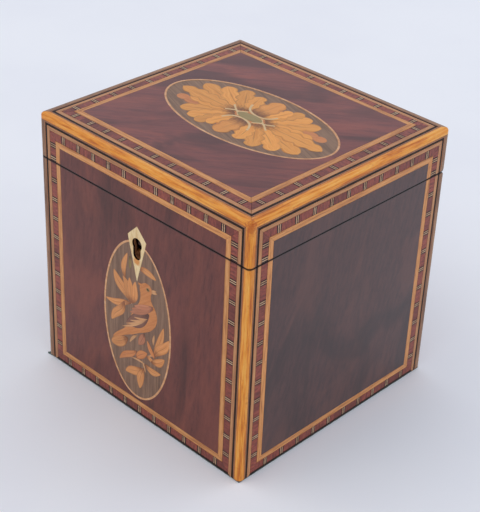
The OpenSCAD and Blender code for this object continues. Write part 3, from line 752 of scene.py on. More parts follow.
@dataclass(frozen=True)
class Veneer:
    """Polished mahogany on a face, its grain laid by object coordinates."""

    name: str
    turn: tuple = (0.0, 90.0, 0.0)
    move: tuple = (0.0, 0.0, 0.0)
    deep: Colour = (52, 21, 17)
    body: Colour = (105, 52, 43)
    glow: Colour = (134, 68, 50)
    curl: float = 0.55
    along: float = 12.0
    across: float = 34.0
    coat: float = 0.5
    specular: float = 0.12
    polish: Polish = Polish(0.42, 0.16, 70.0)
    relief: Relief = Relief(0.03, 0.35, grain=0.35)

    def material(self) -> Material:
        """Returns the finish as a material."""
        made, net, shader = new_material(self.name)
        deep, body, glow = tones(self.deep, self.body, self.glow)
        lie = net.place(object_place(net), turn=self.turn, move=self.move)
        grain = net.group(FX.grain, Vector=lie, Along=55.0, Across=620.0, Fleck=0.8)
        figure = net.group(FX.figure, Vector=lie, Along=self.along, Across=self.across)
        wood = net.ramp(grain["Tone"], (0.0, deep), (0.42, body), (1.0, glow))
        wood = net.blend(0.6, wood, body)
        wood = net.stain(wood, figure["Bright"], self.curl, glow)
        wood = net.stain(wood, figure["Dark"], self.curl, deep)
        wood = net.stain(wood, grain["Pores"], 0.3, deep)
        surface(net, shader, seamed(net, wood), self.polish, self.relief, grain["Height"])
        varnish(shader, self.coat, 0.2, self.specular)
        return made


@dataclass(frozen=True)
class StripWood:
    """Wood of a strip whose grain follows the strip."""

    name: str
    dark: Colour
    body: Colour
    light: Colour
    along: float = 55.0
    across: float = 900.0
    crosscut: bool = False
    block: float = 0.0
    stain_at: tuple | None = None
    fleck: float = 0.5
    grime: float = 0.4
    coat: float = 0.45
    polish: Polish = Polish(0.4, 0.14, 90.0)
    relief: Relief = Relief(0.03, 0.4, grain=0.7)

    def material(self) -> Material:
        """Returns the finish as a material."""
        made, net, shader = new_material(self.name)
        dark, body, light = tones(self.dark, self.body, self.light)
        lie, place_of = own_uv(net, GRAIN_UV), object_place(net)
        along, across = (self.across, self.along) if self.crosscut else (self.along, self.across)
        grain = net.group(FX.grain, Vector=lie, Along=along, Across=across, Fleck=self.fleck)
        wood = net.ramp(grain["Tone"], (0.0, dark), (0.5, body), (1.0, light))
        if self.block:
            count = net.sum("FLOOR", net.times(net.parts(lie)[0], 1 / (self.block * MM)))
            drawn = net.first("ShaderNodeTexWhiteNoise", {"W": count}, noise_dimensions="1D")
            wood = net.blend(net.mask(drawn, 0.2, 1.0, 0.0, 0.55), wood, dark)
        wear = net.group(FX.wear, Vector=place_of, Scale=70.0, Amount=self.grime)
        wood = net.stain(wood, wear["Rubbed"], 0.6, light)
        wood = net.blend(net.sum("MAXIMUM", wear["Grime"], net.times(grain["Pores"], 0.4)), wood, dark)
        if self.stain_at:
            wood = net.stain(wood, near_spot(net, place_of, self.stain_at, 9.0, 9.0), 0.6, tone(170, 66, 18))
        wood = seamed(net, tinted(net, wood, 0.78, 1.18))
        surface(net, shader, wood, self.polish, self.relief, grain["Height"])
        varnish(shader, self.coat, 0.2)
        return made


@dataclass(frozen=True)
class LeafWood:
    """Marquetry wood, scorched in hot sand toward the foot of each leaf, with an engraved rib."""

    name: str
    scorch: Colour
    body: Colour
    light: Colour
    scorch_to: float = 0.42
    scorched: float = 0.85
    rib: float = 0.5
    polish: Polish = Polish(0.36, 0.14, 90.0)
    relief: Relief = Relief(0.03, 0.35, grain=0.5)

    def material(self) -> Material:
        """Returns the finish as a material."""
        made, net, shader = new_material(self.name)
        scorch, body, light = tones(self.scorch, self.body, self.light)
        lie = own_uv(net, GRAIN_UV)
        grain = net.group(FX.grain, Vector=lie, Along=70.0, Across=1100.0, Fleck=0.3)
        wood = net.ramp(grain["Tone"], (0.0, body), (1.0, light))
        up, side = net.parts(own_uv(net, LEAF_UV))[:2]
        side = net.sum("ABSOLUTE", side)
        mottle = net.times(net.sum("SUBTRACT", net.noise(lie, 700.0, 3.0), 0.5), 0.3)
        wood = net.stain(wood, net.mask(net.plus(up, mottle), self.scorch_to, 0.0), self.scorched, scorch)
        wood = net.stain(wood, net.mask(side, 0.72, 1.0), 0.32, scorch)
        rib = net.times(net.mask(side, 0.1, 0.0), self.rib)
        wood = net.blend(net.times(rib, net.mask(up, 0.92, 0.6)), wood, scorch)
        surface(net, shader, tinted(net, wood, 0.7, 1.25), self.polish, self.relief, grain["Height"])
        varnish(shader, 0.4, 0.22)
        return made


@dataclass(frozen=True)
class PlainWood:
    """Unpolished or thinly polished wood of boards and grounds, by object coordinates."""

    name: str
    dark: Colour
    body: Colour
    light: Colour
    turn: tuple = (0.0, 0.0, 0.0)
    along: float = 30.0
    across: float = 420.0
    coat: float = 0.0
    roughness: float = 0.55
    relief: Relief = Relief(0.06, 0.4, grain=1.0, polish=0.4)

    def material(self) -> Material:
        """Returns the finish as a material."""
        made, net, shader = new_material(self.name)
        dark, body, light = tones(self.dark, self.body, self.light)
        place_of = object_place(net)
        grain = net.group(FX.grain, Vector=net.place(place_of, turn=self.turn), Along=self.along,
                          Across=self.across, Fleck=0.6)
        wear = net.group(FX.wear, Vector=place_of, Scale=55.0, Amount=0.5)
        wood = net.ramp(grain["Tone"], (0.0, dark), (0.5, body), (1.0, light))
        wood = net.stain(wood, grain["Pores"], 0.5, dark)
        wood = net.stain(wood, wear["Grime"], 0.6, dark)
        surface(net, shader, wood, Polish(self.roughness, 0.2, 60.0), self.relief, grain["Height"])
        varnish(shader, self.coat, 0.3)
        return made


@dataclass(frozen=True)
class Metal:
    """Worked metal with tarnish and fine scratches."""

    name: str
    colour: Colour
    tarnish: Colour
    roughness: float = 0.32
    tarnish_amount: float = 0.5
    metallic: float = 1.0

    def material(self) -> Material:
        """Returns the finish as a material."""
        made, net, shader = new_material(self.name)
        colour, tarnish = tones(self.colour, self.tarnish)
        wear = net.group(FX.wear, Vector=object_place(net), Scale=140.0, Amount=self.tarnish_amount)
        skin = net.blend(wear["Grime"], net.blend(wear["Rubbed"], colour, tarnish), tarnish)
        surface(net, shader, skin, Polish(self.roughness, 0.25, 240.0), Relief(0.02, 0.4))
        fixed(shader, Metallic=self.metallic)
        return made


@dataclass(frozen=True)
class Bone:
    """Polished bone with a stain below the keyhole."""

    name: str
    light: Colour = (240, 210, 152)
    deep: Colour = (212, 166, 96)
    stain: Colour = (216, 138, 44)
    stain_at: tuple | None = None
    stain_reach: float = 3.0

    def material(self) -> Material:
        """Returns the finish as a material."""
        made, net, shader = new_material(self.name)
        deep, light, stain = tones(self.deep, self.light, self.stain)
        place_of = object_place(net)
        grain = net.group(FX.grain, Vector=net.place(place_of, turn=(0, 90, 0)), Along=90.0, Across=700.0,
                          Fleck=0.4)
        wear = net.group(FX.wear, Vector=place_of, Scale=160.0, Amount=0.5)
        skin = net.ramp(grain["Tone"], (0.0, deep), (0.6, light))
        skin = net.stain(skin, wear["Grime"], 0.5, deep)
        if self.stain_at:
            skin = net.blend(near_spot(net, place_of, self.stain_at, self.stain_reach, 1.4), skin, stain)
        surface(net, shader, skin, Polish(0.3, 0.15, 200.0), Relief(0.02, 0.3))
        fixed(shader, Coat_Weight=0.4, Coat_Roughness=0.2)
        return made


@dataclass(frozen=True)
class Baize:
    """Green wool baize, brushed on one side."""

    name: str
    deep: Colour = (22, 42, 34)
    light: Colour = (52, 84, 66)

    def material(self) -> Material:
        """Returns the finish as a material."""
        made, net, shader = new_material(self.name)
        deep, light = tones(self.deep, self.light)
        place_of = object_place(net)
        nap = net.noise(place_of, 2600.0, 4.0, 0.7)
        cloud = net.noise(place_of, 90.0, 3.0, 0.6)
        skin = net.blend(net.mask(nap, 0.3, 0.7), deep, light)
        skin = net.blend(net.mask(cloud, 0.4, 0.8, 0.0, 0.5), skin, deep)
        net.feed(shader.inputs["Base Color"], skin)
        net.feed(shader.inputs["Normal"], net.bump(nap, 0.2, 0.6))
        fixed(shader, Roughness=0.95, Sheen_Weight=0.5, Sheen_Roughness=0.6, Specular_IOR_Level=0.2)
        return made


class Finishes:
    """Every finish of the caddy, each made once."""

    def __init__(self) -> None:
        """Makes all the materials."""
        self.front = Veneer("Mahogany front", turn=(8, 84, 0), move=(0.013, 0.0, 0.02)).material()
        # The right face's mahogany is darker than the other faces: partly its own veneer, partly painted
        # shade of the right side.
        self.right = Veneer("Mahogany right darkened as painted shade", turn=(12, 78, 0), move=(0.21, 0.07, 0.03), coat=0.75,
                            specular=0.15, deep=(36, 19, 19), body=(72, 41, 38), glow=(98, 57, 48)).material()
        self.back = Veneer("Mahogany back", move=(0.32, 0.11, 0.05)).material()
        self.left = Veneer("Mahogany left", turn=(-10, 82, 0), move=(0.44, 0.02, 0.13), curl=0.6).material()
        self.top = Veneer("Mahogany top", turn=(0, 0, -38), move=(0.03, 0.19, 0.0), curl=0.62, along=16.0,
                          across=44.0, deep=(62, 27, 24), body=(117, 57, 51), glow=(152, 75, 58),
                          coat=0.6).material()
        self.edging = StripWood("Boxwood edging", (178, 84, 22), (234, 146, 46), (250, 184, 86), along=32.0,
                                across=430.0, fleck=0.9, grime=0.5, stain_at=(60.0, -58.0, 118.6)).material()
        # A darker copy of the boxwood edging, for every strip but the near right corner and the front and
        # right top strips: painted shade.
        self.shaded_edging = StripWood("Boxwood edging darkened as painted shade", (96, 62, 42), (148, 106, 74), (184, 138, 98),
                                     along=32.0, across=430.0, fleck=0.9, grime=0.6).material()
        self.box_line = StripWood("Boxwood line", (160, 96, 52), (210, 140, 78), (230, 166, 102)).material()
        self.pale_line = StripWood("Pale line", (156, 104, 66), (190, 130, 84), (212, 154, 102)).material()
        self.edge_line = StripWood("Edge line", (112, 70, 46), (150, 98, 64), (176, 120, 80)).material()
        self.dark_line = StripWood("Dark line", (20, 10, 7), (38, 21, 15), (58, 34, 23), coat=0.1).material()
        self.red_band = StripWood("Red banding", (92, 40, 32), (142, 66, 52), (170, 86, 64), along=260.0,
                                  across=1100.0, crosscut=True, block=9.1).material()
        self.glue = PlainWood("Glue line", (20, 11, 9), (34, 20, 16), (48, 30, 23)).material()
        self.tick_dark = PlainWood("Tick dark", (24, 13, 10), (38, 21, 17), (54, 32, 26), coat=0.2,
                                   roughness=0.4).material()
        self.tick_pale = PlainWood("Tick pale", (170, 124, 92), (212, 168, 128), (230, 192, 154), coat=0.3,
                                   roughness=0.4).material()
        self.ring = PlainWood("Oval line", (190, 128, 84), (216, 158, 108), (232, 182, 136), along=200.0,
                              across=400.0, coat=0.4, roughness=0.4).material()
        ground = {"along": 40.0, "across": 700.0, "coat": 0.35, "roughness": 0.4}
        self.bird_ground = PlainWood("Harewood of the front oval", (104, 76, 58), (130, 97, 75),
                                     (150, 116, 90), turn=(0, 90, 0), **ground).material()
        self.patera_ground = PlainWood("Harewood of the lid oval", (110, 82, 62), (136, 103, 79),
                                       (156, 122, 94), turn=(0, 0, 20), **ground).material()
        self.bird_body = LeafWood("Satinwood of the bird", (120, 62, 36), (194, 116, 60), (216, 142, 82),
                                  scorched=0.0, rib=0.0).material()
        self.feather = LeafWood("Rosy wood of the wing", (104, 58, 42), (174, 106, 74), (200, 132, 94),
                                scorch_to=0.3, rib=0.5).material()
        self.shade = LeafWood("Shade of the wing", (84, 50, 38), (124, 80, 62), (144, 98, 76),
                              rib=0.0).material()
        self.leaf = LeafWood("Satinwood of the leaves", (118, 62, 36), (204, 128, 68),
                             (226, 156, 94)).material()
        self.rosy_leaf = LeafWood("Rosy wood of the leaves", (112, 58, 36), (200, 118, 64), (218, 142, 84),
                                  scorch_to=0.2).material()
        self.patera = LeafWood("Satinwood of the patera", (92, 48, 26), (216, 136, 56), (238, 166, 80),
                               scorch_to=0.3, rib=0.4).material()
        self.patera_crown = LeafWood("Satinwood of the crown leaves", (80, 42, 28), (216, 134, 60),
                                     (236, 162, 82), scorch_to=0.5, rib=0.2).material()
        self.green = LeafWood("Green stained wood", (84, 72, 40), (132, 104, 58), (154, 126, 76),
                              rib=0.3).material()
        self.green_core = LeafWood("Green wood of the centre", (84, 72, 40), (146, 124, 74), (166, 144, 92),
                                   scorched=0.0, rib=0.0).material()
        self.twig = LeafWood("Wood of twigs and quills", (120, 72, 46), (204, 142, 90), (222, 166, 114),
                             scorched=0.3, rib=0.0).material()
        self.line = LeafWood("Light scroll line", (150, 116, 70), (214, 176, 120), (230, 196, 146),
                             scorched=0.0, rib=0.0).material()
        self.escutcheon = Bone("Bone escutcheon", stain_at=(-1.0, -58.0, 76.6)).material()
        self.knob = Bone("Bone knob").material()
        self.carcase = PlainWood("Carcase wood", (96, 60, 38), (140, 92, 58), (166, 114, 76)).material()
        self.carcase_up = PlainWood("Carcase wood upright", (96, 60, 38), (140, 92, 58), (166, 114, 76),
                                    turn=(0, 90, 0)).material()
        self.inner_lid = PlainWood("Inner lid mahogany", (66, 34, 26), (112, 60, 44), (138, 80, 58), coat=0.5,
                                   along=26.0).material()
        self.brass = Metal("Brass", (214, 168, 88), (120, 84, 44)).material()
        # The lock's brass is darkened far below brass so that the keyhole reads dark: painted shade.
        self.shaded_lock_brass = Metal("Lock brass darkened as painted shade", (70, 48, 30), (26, 16, 11), 0.55, 0.9).material()
        self.steel = Metal("Steel of the screws", (150, 150, 152), (84, 70, 60), 0.35).material()
        self.rust = Metal("Rusty pin", (74, 44, 30), (40, 22, 16), 0.6, 0.8, metallic=0.4).material()
        self.foil = Metal("Tea lead foil", (150, 153, 156), (96, 98, 100), 0.42, 0.7).material()
        self.baize = Baize("Green baize").material()


# ---- Geometry Nodes ----


class Tree:
    """A Geometry Nodes tree with named inputs, run on a guide mesh."""

    def __init__(self, name: str, inputs: list[tuple[str, str]]) -> None:
        """Starts the tree.

        Args:
            name: Name of the tree.
            inputs: Name and socket type of each input after the geometry.
        """
        self.tree = bpy.data.node_groups.new(name, "GeometryNodeTree")
        face = self.tree.interface
        face.new_socket("Geometry", in_out="INPUT", socket_type="NodeSocketGeometry")
        self.sockets = {label: face.new_socket(label, in_out="INPUT", socket_type=kind).identifier
                        for label, kind in inputs}
        face.new_socket("Geometry", in_out="OUTPUT", socket_type="NodeSocketGeometry")
        self.net = Net(self.tree)
        self.given = self.tree.nodes.new("NodeGroupInput").outputs
        self.leave = self.tree.nodes.new("NodeGroupOutput").inputs[0]

    def run(self, name: str, guide: Mesh, values: dict) -> Object:
        """Runs the tree on a guide mesh.

        Args:
            name: Name of the piece.
            guide: Points or edges that the tree follows.
            values: Value of each named input.

        Returns:
            The piece as plain mesh.
        """
        piece = link(name, guide)
        modifier = piece.modifiers.new(self.tree.name, "NODES")
        modifier.node_group = self.tree
        for label, value in values.items():
            modifier[self.sockets[label]] = value
        return applied(piece)

    def moved(self, geometry: object, x: object = 0.0, z: object = 0.0) -> NodeSocket:
        """Returns a geometry moved along X and Z."""
        way = self.net.xyz(x, 0.0, z)
        return self.net.first("GeometryNodeTransform", {"Geometry": geometry, "Translation": way})

    def joined(self, *parts: NodeSocket) -> NodeSocket:
        """Returns several geometries as one."""
        join = self.net.node("GeometryNodeJoinGeometry")
        for part in parts:
            self.net.feed(join.inputs[0], part)
        return join.outputs[0]

    def close(self, points: NodeSocket, shape: NodeSocket, turn: NodeSocket, **materials: tuple) -> None:
        """Ends the tree: a shape at each point, turned, realized and given its materials.

        Args:
            points: Where the shape stands.
            shape: The shape.
            turn: Its turn at each point.
            materials: Material and selection under each name; a selection of True is the whole shape.
        """
        net = self.net
        solid = net.first("GeometryNodeInstanceOnPoints", {"Points": points, "Instance": shape,
                                                           "Rotation": turn})
        solid = net.first("GeometryNodeRealizeInstances", {"Geometry": solid})
        for material, chosen in materials.values():
            solid = net.first("GeometryNodeSetMaterial", {"Geometry": solid, "Selection": chosen,
                                                          "Material": material})
        net.feed(self.leave, solid)


class CrossLines(Tree):
    """Bundles of thin dark and pale cross lines, set at even steps along a banding."""

    def __init__(self) -> None:
        """Builds the tree."""
        sizes = ("Step", "Pitch", "Dark width", "Pale width", "Length", "Thickness")
        super().__init__("Cross lines", [
            *((label, FLOAT) for label in sizes),
            ("Outward", VECTOR), ("Dark", MATERIAL), ("Pale", MATERIAL)])
        net, given = self.net, self.given
        curve = net.first("GeometryNodeMeshToCurve", {"Mesh": given["Geometry"]})
        even = net.first("GeometryNodeResampleCurve", {"Curve": curve, "Length": given["Step"]},
                         mode="LENGTH")
        bars = []
        for k in range(-2, 3):
            width = given["Pale width"] if k % 2 else given["Dark width"]
            size = net.xyz(width, given["Length"], given["Thickness"])
            bar = net.first("GeometryNodeMeshCube", {"Size": size})
            bar = self.moved(bar, x=net.times(given["Pitch"], float(k)))
            bars.append(net.first("GeometryNodeStoreNamedAttribute", {
                "Geometry": bar, "Name": "pale", "Value": k % 2 == 1}, data_type="BOOLEAN", domain="FACE"))
        along = net.node("GeometryNodeInputTangent").outputs[0]
        turn = net.first("FunctionNodeAxesToRotation", {
            "Primary Axis": given["Outward"], "Secondary Axis": along}, primary_axis="Z", secondary_axis="X")
        pale = net.first("GeometryNodeInputNamedAttribute", {"Name": "pale"}, data_type="BOOLEAN")
        self.close(even, self.joined(*bars), turn, dark=(given["Dark"], True), pale=(given["Pale"], pale))


class SlottedScrews(Tree):
    """Countersunk screws with a filed slot, one at each point of the guide."""

    sides = 28

    def __init__(self) -> None:
        """Builds the tree."""
        sizes = ("Head radius", "Head height", "Shank radius", "Length", "Slot width")
        super().__init__("Slotted screws", [
            *((label, FLOAT) for label in sizes),
            ("Aim", VECTOR), ("Seed", "NodeSocketInt"), ("Steel", MATERIAL)])
        net, given = self.net, self.given
        tall, radius, shank_r = given["Head height"], given["Head radius"], given["Shank radius"]
        head = self.moved(net.first("GeometryNodeMeshCone", {
            "Vertices": self.sides, "Radius Top": radius, "Radius Bottom": shank_r, "Depth": tall}),
            z=net.times(tall, -1.0))
        shank = self.moved(net.first("GeometryNodeMeshCylinder", {
            "Vertices": self.sides, "Radius": shank_r, "Depth": net.sum("SUBTRACT", given["Length"], tall)}),
            z=net.times(net.plus(given["Length"], tall), -0.5))
        size = net.xyz(net.times(radius, 3.0), given["Slot width"], tall)
        slot = net.first("GeometryNodeMeshCube", {"Size": size})
        head = net.first("GeometryNodeMeshBoolean", {"Mesh 1": head, "Mesh 2": slot}, operation="DIFFERENCE")
        aim = net.first("FunctionNodeAlignRotationToVector", {"Vector": given["Aim"]}, axis="Z")
        spin = net.node("FunctionNodeRandomValue", {2: 0.0, 3: math.pi, "Seed": given["Seed"]},
                        data_type="FLOAT").outputs[1]
        spun = net.first("FunctionNodeAxisAngleToRotation", {"Axis": (0, 0, 1), "Angle": spin})
        turn = net.first("FunctionNodeRotateRotation", {"Rotation": aim, "Rotate By": spun},
                         rotation_space="LOCAL")
        self.close(given["Geometry"], self.joined(head, shank), turn, steel=(given["Steel"], True))


# ---- Bandings ----


@dataclass(frozen=True)
class Line:
    """One line of the banding: its reach out from the field, its finish and its depth under the face."""

    start: float
    end: float
    slot: int
    sink: float


class Lip(Enum):
    """Where a band's lines stop at their lower or upper end."""

    BODY = "body"
    LID = "lid"


@dataclass
class Banding:
    """The inlaid bandings of the four walls and the lid's top, line by line."""

    finishes: Finishes
    glue_gap: float = 0.08
    strip_t: float = 0.35
    tick_step: float = 9.1
    tick_pitch: float = 0.46
    tick_dark_w: float = 0.54
    tick_pale_w: float = 0.36
    tick_t: float = 0.04
    tick_proud: float = 0.001
    body_ticks: Point = (10.5, 92.4)
    lid_ticks: Point = (102.6, 108.6)
    level_ticks: Point = (2.5, 1.5)
    top_ticks: Point = (5.0, 4.5)
    seed: int = 7
    lines: tuple[Line, ...] = (
        Line(0.0, 2.6, 1, 0.0), Line(2.6, 6.1, 2, 0.04), Line(6.1, 7.9, 3, 0.01), Line(7.9, 8.8, 4, 0.03),
        Line(8.8, 9.6, 5, 0.01))
    foot_lines: tuple[Line, ...] = (Line(0.0, 2.6, 1, 0.0), Line(2.6, 6.1, 2, 0.04), Line(6.1, 7.1, 4, 0.03))
    draw: random.Random = field(init=False)
    cross_lines: CrossLines = field(init=False)

    def __post_init__(self) -> None:
        """Starts the draw of tints and builds the tree of cross lines."""
        self.draw = random.Random(self.seed)
        self.cross_lines = CrossLines()

    def materials(self) -> list[Material]:
        """Returns the finishes in slot order."""
        f = self.finishes
        return [f.glue, f.box_line, f.red_band, f.pale_line, f.dark_line, f.edge_line]

    def lower(self, lip: Lip, reach: float) -> float:
        """Returns the lower end of an upright line, reach out from the field."""
        if lip is Lip.LID:
            return CADDY.lid_foot
        return max(CADDY.foot, CADDY.field_foot - reach)

    def upper(self, lip: Lip, reach: float) -> float:
        """Returns the upper end of an upright line, reach out from the field."""
        return CADDY.field_head + reach if lip is Lip.LID else CADDY.body_top

    def upright(self, lip: Lip, half: float, side: int, start: float, end: float) -> list[Point]:
        """Returns the outline of an upright line.

        Args:
            lip: Wall that it belongs to.
            half: Half width of the field.
            side: 1 for the right-hand side, -1 for the left.
            start: Its inner edge, out from the field.
            end: Its outer edge.

        Returns:
            The outline, anticlockwise.
        """
        knee = CADDY.foot_band_w
        knees = [knee] if lip is Lip.BODY and start < knee < end else []
        outline = [(half + t, self.lower(lip, t)) for t in (start, *knees, end)]
        outline += [(half + t, self.upper(lip, t)) for t in (end, start)]
        return outline if side > 0 else [(-u, v) for u, v in reversed(outline)]

    def level(self, half: float, edge: float, way: int, start: float, end: float) -> list[Point]:
        """Returns the outline of a level line with mitred ends.

        Args:
            half: Half width of the field.
            edge: Height of the field's edge.
            way: 1 for a line above the field, -1 for one below.
            start: Its inner edge, out from the field.
            end: Its outer edge.

        Returns:
            The outline, anticlockwise.
        """
        low, high = (start, end) if way > 0 else (end, start)
        gap = self.glue_gap
        return [(gap - half - low, edge + way * low), (half + low - gap, edge + way * low),
                (half + high - gap, edge + way * high), (gap - half - high, edge + way * high)]

    def lay(self, mesher: Mesher, plane: Plane, outline_of: Callable[[float, float], list[Point]],
            lines: tuple[Line, ...], turn: float) -> None:
        """Lays the lines of one side over their bed of glue.

        Args:
            mesher: Piece to add to.
            plane: Face that it lies in.
            outline_of: Function of (start, end) that returns an outline.
            lines: The lines.
            turn: Direction of the side, in degrees.
        """
        mesher.prism(plane, outline_of(0.0, lines[-1].end), self.strip_t, CADDY.veneer_t, 0, turn)
        for line in lines:
            outline = outline_of(line.start + self.glue_gap, line.end - self.glue_gap)
            mesher.prism(plane, outline, line.sink, self.strip_t, line.slot, turn,
                         shift=self.draw.uniform(10, 400), tint=self.draw.uniform(0.35, 0.65))

    def middle(self) -> float:
        """Returns how far the middle of the red band lies out from the field."""
        return (self.lines[1].start + self.lines[1].end) / 2

    def ticks(self, name: str, plane: Plane, runs: list[tuple[Point, Point]], body: str,
              sloped: bool = False) -> None:
        """Makes the cross lines of one face.

        Args:
            name: Name of the piece.
            plane: Face that it lies in.
            runs: Start and end of each row.
            body: CAD body that it moves with.
            sloped: Whether it is cut to the slope behind the hinges.
        """
        red = self.lines[1]
        sink = red.sink - self.tick_t / 2 + self.tick_proud
        ends = [plane.at(u, v, sink) for run in runs for u, v in run]
        guide = guide_mesh(name, ends, [(i, i + 1) for i in range(0, len(ends), 2)])
        sizes = {"Step": self.tick_step, "Pitch": self.tick_pitch, "Dark width": self.tick_dark_w,
                 "Pale width": self.tick_pale_w, "Length": red.end - red.start - 2 * self.glue_gap,
                 "Thickness": self.tick_t}
        piece = self.cross_lines.run(name, guide, {
            **{label: size * MM for label, size in sizes.items()}, "Outward": tuple(plane.out),
            "Dark": self.finishes.tick_dark, "Pale": self.finishes.tick_pale})
        if sloped:
            cut_back(piece, body == "lid")
        place(piece, body, "banding")

    def wall(self, face: Face, lip: Lip) -> None:
        """Makes the banding of one wall.

        Args:
            face: Face that the wall shows.
            lip: Whether it is a wall of the body or of the lid.
        """
        half = CADDY.field_x if face in (Face.FRONT, Face.BACK) else CADDY.field_y
        of_lid = lip is Lip.LID
        plane, mesher, middle = PLANES[face], Mesher(), self.middle()
        for side in (1, -1):
            self.lay(mesher, plane, lambda a, b, s=side: self.upright(lip, half, s, a, b), self.lines, 90.0)
        edge, way = (CADDY.field_head, 1) if of_lid else (CADDY.field_foot, -1)
        self.lay(mesher, plane, lambda a, b: self.level(half, edge, way, a, b),
                 self.lines if of_lid else self.foot_lines, 0.0)
        low, high = self.lid_ticks if of_lid else self.body_ticks
        runs = [((s * (half + middle), low), (s * (half + middle), high)) for s in (1, -1)]
        left, right = self.level_ticks
        runs.append(((left - half, edge + way * middle), (half - right, edge + way * middle)))
        body = "lid" if of_lid else "box"
        node = f"{'lid_' if of_lid else ''}{face.value}_banding"
        piece = mesher.build(f"{node}_strips", self.materials())
        if face is Face.BACK:
            cut_back(piece, of_lid)
        place(piece, body, "banding", node)
        self.ticks(f"{node}_ticks", plane, runs, body, face is Face.BACK)

    def top_corner(self, number: int, reach: float) -> Vector:
        """Returns a corner of the lid's top, at a reach out from its field toward the edging."""
        sx, sy = CORNERS[number % 4]
        inner = Vector((sx * CADDY.field_x - CADDY.top_left, sy * CADDY.field_y + CADDY.top_back))
        outer = Vector((sx * (CADDY.half_w - CADDY.edging_w), sy * (CADDY.half_d - CADDY.edging_w)))
        return inner.lerp(outer, reach / CADDY.band_w)

    def top_line(self, number: int, start: float, end: float) -> list[Point]:
        """Returns the outline of a line along one side of the lid's top, with mitred ends."""
        ends = [self.top_corner(number, end), self.top_corner(number + 1, end),
                self.top_corner(number + 1, start), self.top_corner(number, start)]
        way = (ends[1] - ends[0]).normalized() * self.glue_gap
        return [tuple(p) for p in (ends[0] + way, ends[1] - way, ends[2] - way, ends[3] + way)]

    def top(self) -> None:
        """Makes the banding round the lid's top, whose field was laid a little off the middle."""
        plane, mesher, middle = PLANES[Face.TOP], Mesher(), self.middle()
        runs = []
        for number in range(4):
            self.lay(mesher, plane, lambda a, b, n=number: self.top_line(n, a, b), self.lines, 90.0 * number)
            start, end = self.top_corner(number, middle), self.top_corner(number + 1, middle)
            way = (end - start).normalized()
            runs.append((tuple(start + way * self.top_ticks[0]), tuple(end - way * self.top_ticks[1])))
        piece = mesher.build("lid_top_banding_strips", self.materials())
        place(piece, "lid", "banding", "lid_top_banding")
        self.ticks("lid_top_banding_ticks", plane, runs, "lid")

    def make(self) -> None:
        """Makes every banding."""
        for face in (Face.FRONT, Face.RIGHT, Face.BACK, Face.LEFT):
            self.wall(face, Lip.BODY)
            self.wall(face, Lip.LID)
        self.top()


# ---- Edgings ----


